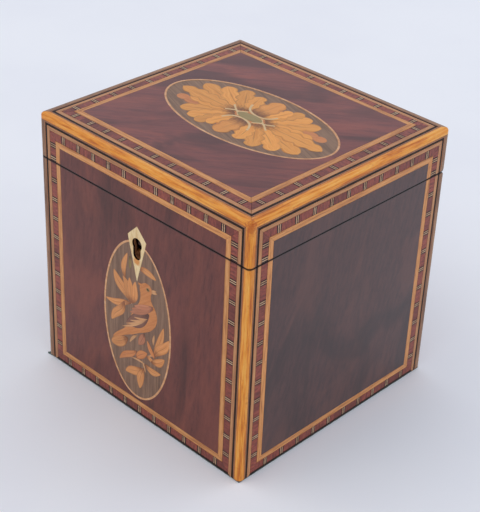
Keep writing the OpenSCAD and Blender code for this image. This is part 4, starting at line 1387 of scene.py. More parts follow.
@dataclass
class Edging:
    """The boxwood edging of the corners and of the lid's top, scraped round by hand."""

    finishes: Finishes
    arc_steps: int = 8
    step: float = 5.0
    waver: float = 0.05
    mitre_gap: float = 0.035
    crease: float = 35.0
    grain_step: float = 131.0
    top_grain_step: float = 177.0
    top_grain: float = 40.0
    # Which strips keep the lit boxwood; all others take its darker copy as painted shade.
    lit_corner: int = 1
    lit_top: tuple[int, ...] = (0, 1)

    def section(self) -> list[Point]:
        """Returns the section as inward distances from the two faces, round the rounded arris."""
        r, w = CADDY.edging_r, CADDY.edging_w
        arc = [(r - r * math.cos(a), r - r * math.sin(a))
               for a in (math.pi / 2 * i / self.arc_steps for i in range(self.arc_steps + 1))]
        return [(w, w), (0.0, w), *arc, (w, 0.0)]

    def worn(self, along: float, number: int) -> float:
        """Returns how far the surface is worn in at a place along a strip."""
        return self.waver * (0.5 + 0.5 * noise.noise(Vector((along * 0.09, number * 7.3, 1.7))))

    def sweep(self, mesher: Mesher, rings: list[list[Vector]], lies: list[float], shift: float,
              tint: float, slot: int) -> None:
        """Joins sections into one closed strip.

        Args:
            mesher: Piece to add to.
            rings: Points of each section.
            lies: Place of each section along the strip.
            shift: How far its grain is moved along.
            tint: How light its wood is.
            slot: Number of its finish: 0 the lit boxwood, 1 its darker copy as painted shade.
        """
        count = len(rings[0])
        around = [0.0]
        for i in range(count):
            around.append(around[-1] + (rings[0][(i + 1) % count] - rings[0][i]).length)
        ids = [[mesher.point(p, tint) for p in ring] for ring in rings]
        for j in range(len(rings) - 1):
            for i in range(count):
                k = (i + 1) % count
                mesher.face([ids[j][i], ids[j][k], ids[j + 1][k], ids[j + 1][i]], slot,
                            [(lies[j] + shift, around[i]), (lies[j] + shift, around[i + 1]),
                             (lies[j + 1] + shift, around[i + 1]), (lies[j + 1] + shift, around[i])])
        for j, order in ((0, -1), (len(rings) - 1, 1)):
            lie = [(lies[j] + shift + 0.2 * around[i], around[i]) for i in range(count)]
            mesher.face(ids[j][::order], slot, lie[::order])

    def corners(self, name: str, low: float, high: float, body: str, node: str) -> None:
        """Makes the four upright strips between two heights.

        Args:
            name: Name of the piece.
            low: Height of its foot.
            high: Height of its head.
            body: CAD body that it moves with.
            node: CAD node that it is shown for.
        """
        mesher, section, w = Mesher(), self.section(), CADDY.edging_w
        steps = max(2, round((high - low) / self.step))
        number = 0
        for sx in (1, -1):
            for sy in (1, -1):
                rings, lies = [], []
                for j in range(steps + 1):
                    z = low + (high - low) * j / steps
                    wear = self.worn(z, number)
                    ring = [Vector((sx * (CADDY.half_w - a - wear * (a < w)),
                                    sy * (CADDY.half_d - b - wear * (b < w)), z)) for a, b in section]
                    rings.append(ring)
                    lies.append(z)
                # Every corner but the near right one takes the darker copy of the boxwood as painted shade.
                slot = int(number != self.lit_corner)
                self.sweep(mesher, rings, lies, self.grain_step * number, 0.5, slot)
                number += 1
        piece = mesher.build(name, [self.finishes.edging, self.finishes.shaded_edging], self.crease)
        cut_back(piece, body == "lid")
        place(piece, body, "boxwood", node)

    def top_place(self, inward: float, down: float, angle: float, along: float, long_half: float,
                  out: float) -> Vector:
        """Returns a point of the strip along the front of the lid's top.

        Args:
            inward: Inward distance of the point from the outer face.
            down: Its depth under the top.
            angle: Turn round the corner, 0 to 45 degrees, signed by the end; 0 on the straight.
            along: Place along the straight part.
            long_half: Half length of the lid along the strip.
            out: Half length across it.

        Returns:
            The point, as if the strip lay at the front.
        """
        r = CADDY.edging_r
        if not angle:
            return Vector((along, inward - out, CADDY.height - down))
        end = 1 if angle > 0 else -1
        if inward >= r:
            return Vector((end * (long_half - inward), inward - out, CADDY.height - down))
        turn = math.radians(abs(angle))
        return Vector((end * (long_half - r + (r - inward) * math.sin(turn)),
                       -(out - r) - (r - inward) * math.cos(turn), CADDY.height - down))

    def top(self) -> None:
        """Makes the four mitred strips round the lid's top."""
        mesher = Mesher()
        section = self.section()
        r = CADDY.edging_r
        for number in range(4):
            long_half, out = (CADDY.half_w, CADDY.half_d) if number % 2 == 0 else (CADDY.half_d, CADDY.half_w)
            spin = Matrix.Rotation(math.pi / 2 * number, 3, "Z")
            straight = long_half - r
            count = max(2, round(2 * straight / self.step))
            stations = [(-a, 0.0) for a in (45.0, 30.0, 15.0)]
            stations += [(0.0, -straight + 2 * straight * i / count) for i in range(count + 1)]
            stations += [(a, 0.0) for a in (15.0, 30.0, 45.0)]
            rings, lies = [], []
            for angle, along in stations:
                lie = along if not angle else math.copysign(straight + abs(angle) / 45.0, angle)
                wear = self.worn(lie, number + 4)
                ring = []
                for inward, down in section:
                    end = self.top_place(inward, down, angle, along, long_half, out)
                    if not angle:
                        limit = long_half - max(inward, r) if inward > r else straight
                        end.x = max(-limit, min(limit, end.x))
                    end.y += wear * (inward < CADDY.edging_w - 0.01)
                    end.z -= wear * (down < CADDY.edging_w - 0.01)
                    gap = self.mitre_gap if abs(end.x) > straight - CADDY.edging_w else 0.0
                    end.x -= math.copysign(gap, end.x)
                    ring.append(spin @ end)
                rings.append(ring)
                lies.append(lie)
            shift = self.top_grain_step * number + self.top_grain
            # The top strips other than the front and right ones take the darker copy of the boxwood as
            # painted shade.
            self.sweep(mesher, rings, lies, shift, 0.55, int(number not in self.lit_top))
        woods = [self.finishes.edging, self.finishes.shaded_edging]
        piece = mesher.build("lid_top_edging_strips", woods, self.crease)
        tidy(piece.data, merge=True)
        place(piece, "lid", "boxwood", "lid_top_edging")

    def make(self) -> None:
        """Makes every edging."""
        self.corners("body_corner_strips", CADDY.foot, CADDY.body_top, "box", "body_corner_edging")
        self.corners("lid_corner_strips", CADDY.lid_foot, CADDY.edging_foot, "lid", "lid_corner_edging")
        self.top()


# ---- Marquetry ----


class Wood(Enum):
    """The woods of the marquetry, by the names of their finishes."""

    FEATHER = "feather"
    LEAF = "leaf"
    GREEN = "green"
    TWIG = "twig"
    BODY = "bird_body"
    EYE = "dark_line"
    SHADE = "shade"
    ROSY = "rosy_leaf"
    PATERA = "patera"
    CROWN = "patera_crown"
    CORE = "green_core"
    LINE = "line"


@dataclass(frozen=True)
class Leaf:
    """One piece of marquetry from its foot to its tip."""

    foot: Point
    tip: Point
    width: float
    bow: float = 0.0
    wood: Wood = Wood.LEAF
    lobes: int = 0
    notch: float = 0.0
    fullest: float = 0.5
    blunt: float = 0.75
    tint: float = 0.5
    sway: float = 0.0


@dataclass(frozen=True)
class Oval:
    """An upright or level oval panel."""

    centre: Point
    half_across: float
    half_up: float

    def ring(self, count: int = 144) -> list[Point]:
        """Returns its outline, anticlockwise from the right."""
        return [(self.centre[0] + self.half_across * math.cos(2 * math.pi * i / count),
                 self.centre[1] + self.half_up * math.sin(2 * math.pi * i / count)) for i in range(count)]

    def holds(self, spot: Point) -> bool:
        """Returns whether a point lies inside."""
        return (((spot[0] - self.centre[0]) / self.half_across) ** 2
                + ((spot[1] - self.centre[1]) / self.half_up) ** 2) < 1.0


@dataclass
class Marquetry:
    """Common ways of the two inlaid ovals: leaves laid as thin plates on a ground."""

    plane: Plane
    finishes: Finishes
    woods: tuple[Wood, ...]
    ground_sink: float = 0.09
    rest: float = 0.012
    lift: float = 0.0018
    along_steps: int = 28
    across_steps: int = 6
    grain_shift: float = 17.0

    def height_of(self, level: int) -> float:
        """Returns the depth of a piece's top; every level is its own, so that no two faces share a plane."""
        return self.ground_sink - self.rest - self.lift * level

    def lay_leaf(self, mesher: Mesher, leaf: Leaf, level: int) -> None:
        """Lays one leaf.

        Args:
            mesher: Piece to add to.
            leaf: The leaf.
            level: How many leaves lie under it.
        """
        foot, tip = Vector(leaf.foot), Vector(leaf.tip)
        way = tip - foot
        length = way.length
        across = Vector((-way.y, way.x)) / length
        top = self.height_of(level)
        grid: list[list[tuple[float, float, float, float]]] = []
        for i in range(self.along_steps + 1):
            t = i / self.along_steps
            swell = math.sin(math.pi * t ** (math.log(0.5) / math.log(leaf.fullest)))
            half = leaf.width / 2 * max(0.0, swell) ** leaf.blunt
            if leaf.lobes:
                half *= 1.0 - leaf.notch * (1.0 - abs(math.sin(math.pi * leaf.lobes * t)))
            drift = leaf.bow * math.sin(math.pi * t) + leaf.sway * math.sin(2 * math.pi * t)
            middle = foot + way * t + across * drift
            row = []
            for j in range(self.across_steps + 1):
                side = 2 * j / self.across_steps - 1
                spot = middle + across * (half * side)
                row.append((spot.x, spot.y, t, side))
            grid.append(row)
        self.plate(mesher, grid, top, leaf, length)

    def plate(self, mesher: Mesher, grid: list, top: float, leaf: Leaf, length: float) -> None:
        """Makes a leaf's grid into a closed plate on the ground.

        Args:
            mesher: Piece to add to.
            grid: Rows of (across, up, place along the leaf, place across it).
            top: Depth of its top.
            leaf: The leaf.
            length: Length of the leaf.
        """
        rows, cols = len(grid), len(grid[0])
        cache: dict = {}

        def number(i: int, j: int, depth: float) -> int:
            """Returns the point of a grid place; each end of the leaf is one point."""
            j = cols // 2 if i in (0, rows - 1) else j
            key = (i, j, depth)
            if key not in cache:
                u, v = grid[i][j][:2]
                cache[key] = mesher.point(self.plane.at(u, v, depth), leaf.tint)
            return cache[key]

        def put(spots: list[tuple[int, int, float]]) -> None:
            """Adds a face through grid places, without its doubled points."""
            ids, lies, marks = [], [], []
            for i, j, depth in spots:
                found = number(i, j, depth)
                if found not in ids:
                    ids.append(found)
                    _, _, t, side = grid[i][j]
                    lies.append((t * length + 31.0 * leaf.tint, side * leaf.width / 2 + leaf.foot[0]))
                    marks.append((t, side))
            if len(ids) > 2:
                mesher.face(ids, self.woods.index(leaf.wood), lies, marks)

        base = self.ground_sink
        for i in range(rows - 1):
            for j in range(cols - 1):
                put([(i, j, top), (i + 1, j, top), (i + 1, j + 1, top), (i, j + 1, top)])
                put([(i, j, base), (i, j + 1, base), (i + 1, j + 1, base), (i + 1, j, base)])
            put([(i, 0, base), (i + 1, 0, base), (i + 1, 0, top), (i, 0, top)])
            last = cols - 1
            put([(i + 1, last, base), (i, last, base), (i, last, top), (i + 1, last, top)])

    def lay_shape(self, mesher: Mesher, outline: list[Point], level: int, wood: Wood,
                  turn: float = 0.0) -> None:
        """Lays a plate of any outline on the ground."""
        mesher.prism(self.plane, outline, self.height_of(level), self.ground_sink, self.woods.index(wood),
                     turn, self.grain_shift)

    def finished(self, mesher: Mesher, name: str) -> Object:
        """Returns the marquetry as a piece."""
        return mesher.build(name, [getattr(self.finishes, wood.value) for wood in self.woods], turn_out=False)


@dataclass
class BirdOval(Marquetry):
    """The front oval: a bird among leaves, under the escutcheon."""

    woods: tuple[Wood, ...] = (Wood.FEATHER, Wood.LEAF, Wood.GREEN, Wood.TWIG, Wood.BODY, Wood.EYE,
                               Wood.SHADE, Wood.ROSY)
    oval: Oval = Oval((-1.0, 47.35), 19.4, 37.35)
    kite_foot: Point = (-1.0, 67.0)
    kite_half: float = 5.55
    kite_shoulder: float = 87.2

    def ground(self) -> None:
        """Makes the ground, cut round the escutcheon."""
        middle, foot = self.kite_foot
        slope = self.kite_half / (self.kite_shoulder - foot)
        kept = [p for p in self.oval.ring() if abs(p[0] - middle) > slope * (p[1] - foot)]
        left = next(i for i, p in enumerate(kept) if p[0] < middle)
        rise = foot
        while self.oval.holds((middle + slope * (rise - foot), rise)):
            rise += 0.01
        reach = slope * (rise - foot)
        outline = [*kept[left:], *kept[:left], (middle + reach, rise), self.kite_foot, (middle - reach, rise)]
        mesher = Mesher()
        mesher.prism(self.plane, outline, self.ground_sink, CADDY.veneer_t)
        piece = mesher.build("bird_ground_panel", [self.finishes.bird_ground])
        place(piece, "box", "harewood", "bird_oval_ground")

    def body_outline(self) -> list[Point]:
        """Returns the outline of the bird from its crest over its breast to the tail."""
        return rounded([
            (0.9, 66.2), (2.2, 67.8), (4.2, 68.8), (6.4, 68.6), (7.6, 67.5), (7.9, 66.0), (7.3, 64.4),
            (7.2, 62.2), (8.2, 60.4), (9.8, 58.6), (10.9, 55.6), (10.7, 52.4), (9.2, 49.4), (6.8, 46.8),
            (3.6, 44.6), (0.8, 43.0), (-1.6, 41.4), (-3.6, 40.0), (-5.6, 39.0), (-8.2, 37.4), (-11.2, 35.6),
            (-15.9, 33.0), (-13.9, 36.0), (-10.8, 38.8), (-8.4, 41.2), (-6.6, 43.8), (-5.4, 47.2),
            (-4.0, 50.6), (-2.2, 53.8), (-0.2, 56.8), (0.9, 59.6), (1.1, 62.6), (0.6, 64.6)], 3)

    def feathers(self) -> list[Leaf]:
        """Returns the thigh, the wing from its shade to its coverts, the crest and the beak."""
        shade = [
            Leaf((3.4, 43.9), (0.0, 36.8), 3.7, 0.3, Wood.FEATHER, tint=0.4),
            Leaf((6.4, 54.8), (-7.6, 43.8), 6.6, 0.7, Wood.SHADE)]
        quills = [Leaf((5.4 - 0.9 * k, 52.0 - 1.0 * k), (-3.0 - 2.4 * k, 49.0 - 2.7 * k), 1.0, 0.4, Wood.TWIG,
                       tint=0.55) for k in range(4)]
        coverts = [
            Leaf((8.6, 58.2), (-5.4, 50.4), 2.6, 0.5, Wood.FEATHER),
            Leaf((8.8, 58.8), (-4.4, 52.4), 2.8, 0.5, Wood.FEATHER),
            Leaf((8.8, 59.4), (-2.8, 54.6), 2.6, 0.4, Wood.FEATHER, tint=0.7)]
        return [
            *shade, *quills, *coverts, Leaf((-0.8, 41.0), (-5.5, 35.2), 1.4, -0.5, Wood.TWIG, tint=0.4),
            Leaf((7.4, 66.6), (10.4, 67.7), 1.1, 0.0, Wood.TWIG),
            Leaf((7.4, 65.8), (10.9, 66.9), 1.1, 0.0, Wood.TWIG),
            Leaf((3.4, 67.0), (-0.4, 66.9), 1.3, 0.3, Wood.BODY)]

    def leaves(self) -> list[Leaf]:
        """Returns the leaves and twigs round the bird, the lowest ones first."""
        stems = [
            Leaf((-2.4, 56.5), (-9.4, 53.2), 0.8, 0.4, Wood.TWIG),
            Leaf((-4.6, 28.0), (5.0, 28.4), 0.9, 0.6, Wood.TWIG),
            Leaf((2.0, 29.6), (4.2, 24.6), 0.8, 0.3, Wood.TWIG),
            Leaf((4.4, 33.0), (11.6, 40.4), 0.9, -0.9, Wood.TWIG),
            Leaf((8.8, 40.8), (9.4, 46.2), 1.3, 0.2, Wood.TWIG, tint=0.4)]
        return [
            *stems, Leaf((-0.2, 74.2), (10.2, 73.0), 3.2, 0.6, Wood.LEAF, blunt=0.6),
            Leaf((-5.2, 77.4), (-5.4, 71.0), 1.9, 0.2, Wood.GREEN),
            Leaf((-8.0, 64.6), (-6.8, 78.0), 3.0, 1.6, Wood.LEAF, sway=0.2, tint=0.55),
            Leaf((-4.4, 55.2), (-15.1, 66.6), 5.4, 0.6, Wood.LEAF, fullest=0.52, sway=-0.5),
            Leaf((-4.6, 55.4), (-9.6, 66.0), 4.4, -0.6, Wood.LEAF, tint=0.42, sway=0.5),
            Leaf((-4.8, 55.0), (-5.6, 67.0), 3.6, -0.3, Wood.LEAF, tint=0.55),
            Leaf((-4.2, 55.0), (-2.0, 66.6), 3.6, -0.9, Wood.LEAF, tint=0.65, sway=-0.3),
            Leaf((-4.4, 55.0), (-20.4, 50.4), 3.2, 0.9, Wood.LEAF, tint=0.6, sway=-0.3),
            Leaf((-8.6, 54.0), (-16.8, 41.2), 4.4, 0.4, Wood.LEAF, sway=0.6, blunt=0.65),
            Leaf((-6.6, 36.6), (-16.9, 29.8), 5.4, 0.5, Wood.LEAF, fullest=0.55, blunt=0.55, tint=0.4),
            Leaf((-1.0, 33.0), (-12.0, 23.6), 3.2, -0.3, Wood.ROSY, tint=0.45, sway=0.4),
            Leaf((-1.8, 29.2), (5.2, 35.0), 3.8, 0.4, Wood.ROSY),
            Leaf((4.6, 33.4), (9.8, 32.0), 2.0, 0.3, Wood.LEAF),
            Leaf((7.4, 31.8), (15.6, 37.2), 3.8, -1.0, Wood.LEAF, tint=0.55),
            Leaf((3.4, 28.6), (13.4, 28.6), 3.4, -1.3, Wood.LEAF),
            Leaf((2.6, 25.8), (-8.2, 19.2), 4.4, 0.5, Wood.LEAF, tint=0.55, sway=0.4),
            Leaf((3.4, 26.6), (0.7, 14.8), 4.4, -0.9, Wood.LEAF, fullest=0.55),
            Leaf((9.0, 36.8), (14.9, 52.4), 3.4, -0.8, Wood.LEAF),
            Leaf((9.0, 35.4), (18.2, 48.0), 4.6, -0.4, Wood.LEAF, tint=0.6, sway=0.5),
            Leaf((10.0, 34.4), (5.2, 41.4), 2.3, 0.5, Wood.ROSY, tint=0.6)]

    def make(self) -> None:
        """Makes the oval."""
        self.ground()
        mesher = Mesher()
        leaves, feathers = self.leaves(), self.feathers()
        for level, leaf in enumerate(leaves):
            self.lay_leaf(mesher, leaf, level)
        self.lay_shape(mesher, self.body_outline(), len(leaves), Wood.BODY, 38.0)
        for level, feather in enumerate(feathers, len(leaves) + 1):
            self.lay_leaf(mesher, feather, level)
        eye = ((1.0, Wood.GREEN), (0.42, Wood.EYE))
        for level, (radius, wood) in enumerate(eye, len(leaves) + len(feathers) + 1):
            self.lay_shape(mesher, Oval((5.5, 66.3), radius, radius * 0.8).ring(20), level, wood)
        place(self.finished(mesher, "bird_and_leaves"), "box", "marquetry", "bird_marquetry")


@dataclass
class PateraOval(Marquetry):
    """The lid's oval: an acanthus patera."""

    woods: tuple[Wood, ...] = (Wood.PATERA, Wood.ROSY, Wood.CROWN, Wood.CORE, Wood.LINE, Wood.BODY)
    oval: Oval = Oval((0.0, 2.6), 43.5, 22.4)

    def half_fan(self) -> list[Leaf]:
        """Returns the leaves of one half of the patera, the lowest ones first."""
        broad = {"lobes": 4, "notch": 0.3, "fullest": 0.58, "blunt": 0.36}
        return [
            Leaf((7.0, 2.6), (30.6, 7.8), 6.4, 0.4, Wood.ROSY, tint=0.45, **broad),
            Leaf((6.6, 1.6), (26.4, 14.2), 9.2, -0.6, Wood.PATERA, **broad),
            Leaf((5.6, 2.6), (19.4, 17.0), 9.0, -0.3, Wood.PATERA, tint=0.64, **broad),
            Leaf((5.0, 3.0), (13.4, 18.8), 8.0, 0.0, Wood.PATERA, tint=0.42, **broad),
            Leaf((7.4, -1.0), (35.2, -9.4), 9.4, -0.5, Wood.PATERA, **broad),
            Leaf((6.6, -1.8), (27.0, -14.2), 9.6, 0.6, Wood.PATERA, tint=0.66, **broad),
            Leaf((5.8, -2.6), (18.6, -18.0), 9.2, 0.2, Wood.PATERA, tint=0.45, **broad),
            Leaf((4.6, -3.2), (9.6, -17.8), 8.2, 0.6, Wood.PATERA, tint=0.6, **broad),
            Leaf((8.0, 0.8), (30.6, 4.0), 7.4, 0.3, Wood.PATERA, tint=0.6, **broad),
            Leaf((7.6, 0.0), (39.8, -0.4), 9.6, 0.0, Wood.PATERA, tint=0.52, lobes=5, notch=0.34,
                 fullest=0.55, blunt=0.5),
            Leaf((3.4, 3.0), (8.6, 16.6), 7.4, -1.0, Wood.PATERA, tint=0.68, **broad),
            Leaf((0.0, 3.0), (0.8, 19.4), 10.4, 0.0, Wood.CROWN, lobes=3, notch=0.26, blunt=0.36)]

    def mass(self) -> list[Point]:
        """Returns the outline of the wood that shows between the leaves, about the oval's centre."""
        half = [(33.0, -0.4), (29.0, -6.8), (22.4, -11.0), (15.0, -14.6), (8.4, -14.2), (3.4, -13.6),
                (0.0, -14.8), (-3.4, -14.4), (-8.8, -14.2), (-15.6, -14.4), (-22.4, -11.4), (-26.4, -6.8)]
        return rounded(half + [(-x, -y) for x, y in half], 3)

    def scrolls(self) -> list[list[Point]]:
        """Returns the middle lines of the light scrolls round the centre."""
        paths = [[(-7.4, 9.4), (-6.2, 6.9), (-4.0, 4.4), (0.4, 2.9), (4.4, 3.3), (7.0, 5.2), (8.2, 8.0)],
                 [(-12.6, 3.9), (-9.4, 1.4), (-6.8, -0.2), (-4.6, -2.2)],
                 [(-12.4, -1.8), (-9.2, 0.2), (-6.6, 0.9), (-3.8, 3.0)]]
        return [rounded(path, 4, closed=False) for path in paths]

    def ribbon(self, mesher: Mesher, path: list[Point], width: float, level: int) -> None:
        """Lays a light line of even width.

        Args:
            mesher: Piece to add to.
            path: Its middle line.
            width: Its width.
            level: How many pieces lie under it.
        """
        sides: list[tuple[Point, Point]] = []
        for i, (x, y) in enumerate(path):
            ahead, behind = path[min(len(path) - 1, i + 1)], path[max(0, i - 1)]
            way = (Vector(ahead) - Vector(behind)).normalized() * width / 2
            sides.append(((x - way.y, y + way.x), (x + way.y, y - way.x)))
        for (left, right), (next_left, next_right) in zip(sides, sides[1:]):
            self.lay_shape(mesher, [right, next_right, next_left, left], level, Wood.LINE)

    def turned(self, outline: list[Point], sign: int) -> list[Point]:
        """Returns an outline moved to the patera's place, half a turn round where the sign is -1."""
        cx, cy = self.oval.centre
        return [(sign * u + cx, sign * v + cy) for u, v in outline]

    def make(self) -> None:
        """Makes the oval."""
        ground = Mesher()
        ground.prism(self.plane, self.oval.ring(), self.ground_sink, CADDY.veneer_t)
        panel = ground.build("patera_ground_panel", [self.finishes.patera_ground])
        place(panel, "lid", "harewood", "patera_ground")
        mesher, both = Mesher(), (1, -1)
        levels = itertools.count()
        for sign in both:
            berry = self.turned(Oval((32.2, 6.7), 3.1, 2.4).ring(28), sign)
            self.lay_shape(mesher, berry, next(levels), Wood.ROSY, 20.0)
        self.lay_shape(mesher, self.turned(self.mass(), 1), next(levels), Wood.BODY, 25.0)
        for leaf in self.half_fan():
            for sign in both:
                foot, tip = self.turned([leaf.foot, leaf.tip], sign)
                half_leaf = replace(leaf, foot=foot, tip=tip, tint=leaf.tint + 0.04 * sign)
                self.lay_leaf(mesher, half_leaf, next(levels))
        for number, path in enumerate(self.scrolls()):
            for sign in both:
                self.ribbon(mesher, self.turned(path, sign), 0.85 if number else 1.0, next(levels))
        lozenge = rounded([(6.6, 0.3), (4.6, 1.9), (2.0, 2.5), (-2.0, 2.4), (-4.8, 1.7), (-6.6, -0.3),
                           (-4.6, -1.9), (-2.0, -2.5), (2.0, -2.4), (4.8, -1.7)], 2)
        self.lay_shape(mesher, self.turned(lozenge, 1), next(levels), Wood.CORE)
        place(self.finished(mesher, "patera_leaves"), "lid", "marquetry", "patera_marquetry")


# ---- Bone, baize, foil, screws ----


@dataclass
class Escutcheon:
    """The kite of bone round the keyhole."""

    finishes: Finishes
    centre_x: float = -1.0
    top: float = 92.8
    shoulder: float = 87.2
    foot: float = 67.0
    half: float = 5.55
    head_z: float = 84.4
    head_r: float = 2.8
    slot_half: float = 2.2
    slot_foot: float = 77.4
    bevel: float = 0.12
    fit_gap: float = 0.05
    kite_middle: float = 82.3
    hole_reach: float = 5.1

    def kite(self) -> list[Point]:
        """Returns the outline, anticlockwise, with slightly eased corners."""
        x, g = self.centre_x, self.fit_gap
        return [(x, self.foot + 3 * g), (x + self.half - g, self.shoulder), (x, self.top - g),
                (x - self.half + g, self.shoulder)]

    def keyhole(self) -> list[Point]:
        """Returns the keyhole, clockwise."""
        x, steps = self.centre_x, 28
        low = math.asin(self.slot_half / self.head_r)
        head = [(x + self.head_r * math.sin(a), self.head_z - self.head_r * math.cos(a))
                for a in (low + (2 * math.pi - 2 * low) * i / steps for i in range(steps + 1))]
        foot_z = self.slot_foot + self.slot_half
        slot = [(x - self.slot_half * math.cos(a), foot_z - self.slot_half * math.sin(a))
                for a in (math.pi * i / 14 for i in range(15))]
        return (head + slot)[::-1]

    def make(self) -> None:
        """Makes the plate with its hole and a small bevel all round, the hole's walls dark as painted shade.
        """
        plane = PLANES[Face.FRONT]
        curve = bpy.data.curves.new("escutcheon_outline", "CURVE")
        curve.dimensions = "2D"
        curve.fill_mode = "BOTH"
        curve.extrude = (CADDY.veneer_t / 2 - self.bevel) * MM
        curve.bevel_depth = self.bevel * MM
        curve.offset = -self.bevel * MM
        curve.bevel_resolution = 2
        for outline in (self.kite(), self.keyhole()):
            spline = curve.splines.new("POLY")
            spline.points.add(len(outline) - 1)
            for spot, (u, v) in zip(spline.points, outline):
                spot.co = (u * MM, v * MM, 0, 1)
            spline.use_cyclic_u = True
        flat = link("escutcheon_flat", curve)
        mesh = bpy.data.meshes.new_from_object(flat.evaluated_get(bpy.context.evaluated_depsgraph_get()))
        bpy.data.objects.remove(flat)
        middle = plane.at(0, 0, CADDY.veneer_t / 2) * MM
        turn = Matrix((plane.across, plane.up, plane.out)).transposed().to_4x4()
        mesh.transform(Matrix.Translation(middle) @ turn)
        tidy(mesh, merge=True)
        mesh.materials.clear()
        # The walls of the keyhole take the dark glue finish instead of bone: painted shade inside the hole.
        for finish in (self.finishes.escutcheon, self.finishes.glue):
            mesh.materials.append(finish)
        for face in mesh.polygons:
            spot = face.center / MM
            hole_wall_in_shade = Vector((spot.x - self.centre_x, 0, spot.z - self.kite_middle)).length < self.hole_reach
            face.material_index = int(hole_wall_in_shade and spot.y > -CADDY.half_d + self.bevel)
        place(link("bone_escutcheon", mesh), "box", "bone", "escutcheon")


@dataclass
class BaizeFoot:
    """The sheet of baize glued under the base."""

    finishes: Finishes
    half_w: float = 59.6
    half_d: float = 57.6
    thickness: float = 0.8
    step: float = 2.0
    fray: float = 0.12
    tip: float = 1.3
    seed: int = 11

    def outline(self) -> list[Point]:
        """Returns the cut edge of the cloth, with the loose tip at the front left corner."""
        draw = random.Random(self.seed)
        corners = [Vector((sx * self.half_w, sy * self.half_d)) for sx, sy in CORNERS]
        outline = []
        for start, end in zip(corners, corners[1:] + corners[:1]):
            count = round((end - start).length / self.step)
            for i in range(count):
                spot = start.lerp(end, i / count)
                outline.append(tuple(spot - spot.normalized() * draw.uniform(0.0, self.fray)))
        outline[0] = (-self.half_w - self.tip, -self.half_d - 0.35 * self.tip)
        return outline

    def make(self) -> None:
        """Makes the sheet."""
        mesher = Mesher()
        mesher.prism(Plane(Z * self.thickness, X, Y, Z), self.outline(), 0.0, self.thickness)
        piece = mesher.build("baize_sheet", [self.finishes.baize])
        place(piece, "box", "baize", "base_baize")


@dataclass
class FoilLining:
    """The thin foil pressed over the inside of the compartment."""

    finishes: Finishes
    half_x: float = 52.0
    half_y: float = 50.0
    thickness: float = 0.4
    foot: float = 6.8
    head: float = 83.7
    step: float = 2.5
    crease: float = 0.22

    def crumple(self, spot: Vector) -> float:
        """Returns how far the foil stands off its board at a place, in millimetres."""
        broad = abs(noise.noise(spot * 0.09))
        fine = abs(noise.noise(spot * 0.33 + Vector((9.0, 4.0, 2.0))))
        return self.crease * min(1.0, 1.2 * broad + 0.9 * fine)

    def panel(self, mesher: Mesher, start: Vector, along: Vector, up: Vector, inward: Vector) -> None:
        """Adds one panel of foil as a closed sheet with a creased inner face.

        Args:
            mesher: Piece to add to.
            start: Its first corner.
            along: Way and length of one side.
            up: Way and length of the other side.
            inward: Way from the board into the compartment.
        """
        columns, rows = (max(2, round(side.length / self.step)) for side in (along, up))
        front, rear = [], []
        for j in range(rows + 1):
            for i in range(columns + 1):
                spot = start + along * (i / columns) + up * (j / rows)
                rim = i in (0, columns) or j in (0, rows)
                stand = self.thickness if rim else self.thickness + self.crumple(spot) - self.crease / 2
                front.append(mesher.point(spot + inward * stand))
                rear.append(mesher.point(spot))
        wide = columns + 1

        def patch(ids: list[int], spots: list[tuple[int, int]]) -> None:
            """Adds one face."""
            mesher.face(ids, 0, [(i * self.step, j * self.step) for i, j in spots])

        for j in range(rows):
            for i in range(columns):
                a, b, c, d = j * wide + i, j * wide + i + 1, (j + 1) * wide + i + 1, (j + 1) * wide + i
                spots = [(i, j), (i + 1, j), (i + 1, j + 1), (i, j + 1)]
                patch([front[k] for k in (a, b, c, d)], spots)
                patch([rear[k] for k in (d, c, b, a)], spots[::-1])
        loop = [(i, 0) for i in range(columns)] + [(columns, j) for j in range(rows)]
        loop += [(i, rows) for i in range(columns, 0, -1)] + [(0, j) for j in range(rows, 0, -1)]
        for k, (i, j) in enumerate(loop):
            m, n = loop[(k + 1) % len(loop)]
            a, b = j * wide + i, n * wide + m
            patch([rear[a], rear[b], front[b], front[a]], [(i, j), (m, n), (m, n), (i, j)])

    def make(self) -> None:
        """Makes the four sides and the floor."""
        x, y, t = self.half_x, self.half_y, self.thickness
        up = Z * (self.head - self.foot - t)
        mesher = Mesher()
        low = self.foot + t
        wide, deep = X * 2 * x, Y * 2 * (y - t)
        self.panel(mesher, Vector((-x, -y, low)), wide, up, Y)
        self.panel(mesher, Vector((x, y, low)), -wide, up, -Y)
        self.panel(mesher, Vector((x, t - y, low)), deep, up, -X)
        self.panel(mesher, Vector((-x, y - t, low)), -deep, up, X)
        self.panel(mesher, Vector((-x, -y, self.foot)), wide, Y * 2 * y, Z)
        piece = mesher.build("foil_sheets", [self.finishes.foil], 50.0)
        place(piece, "box", "tin_foil", "foil_lining")


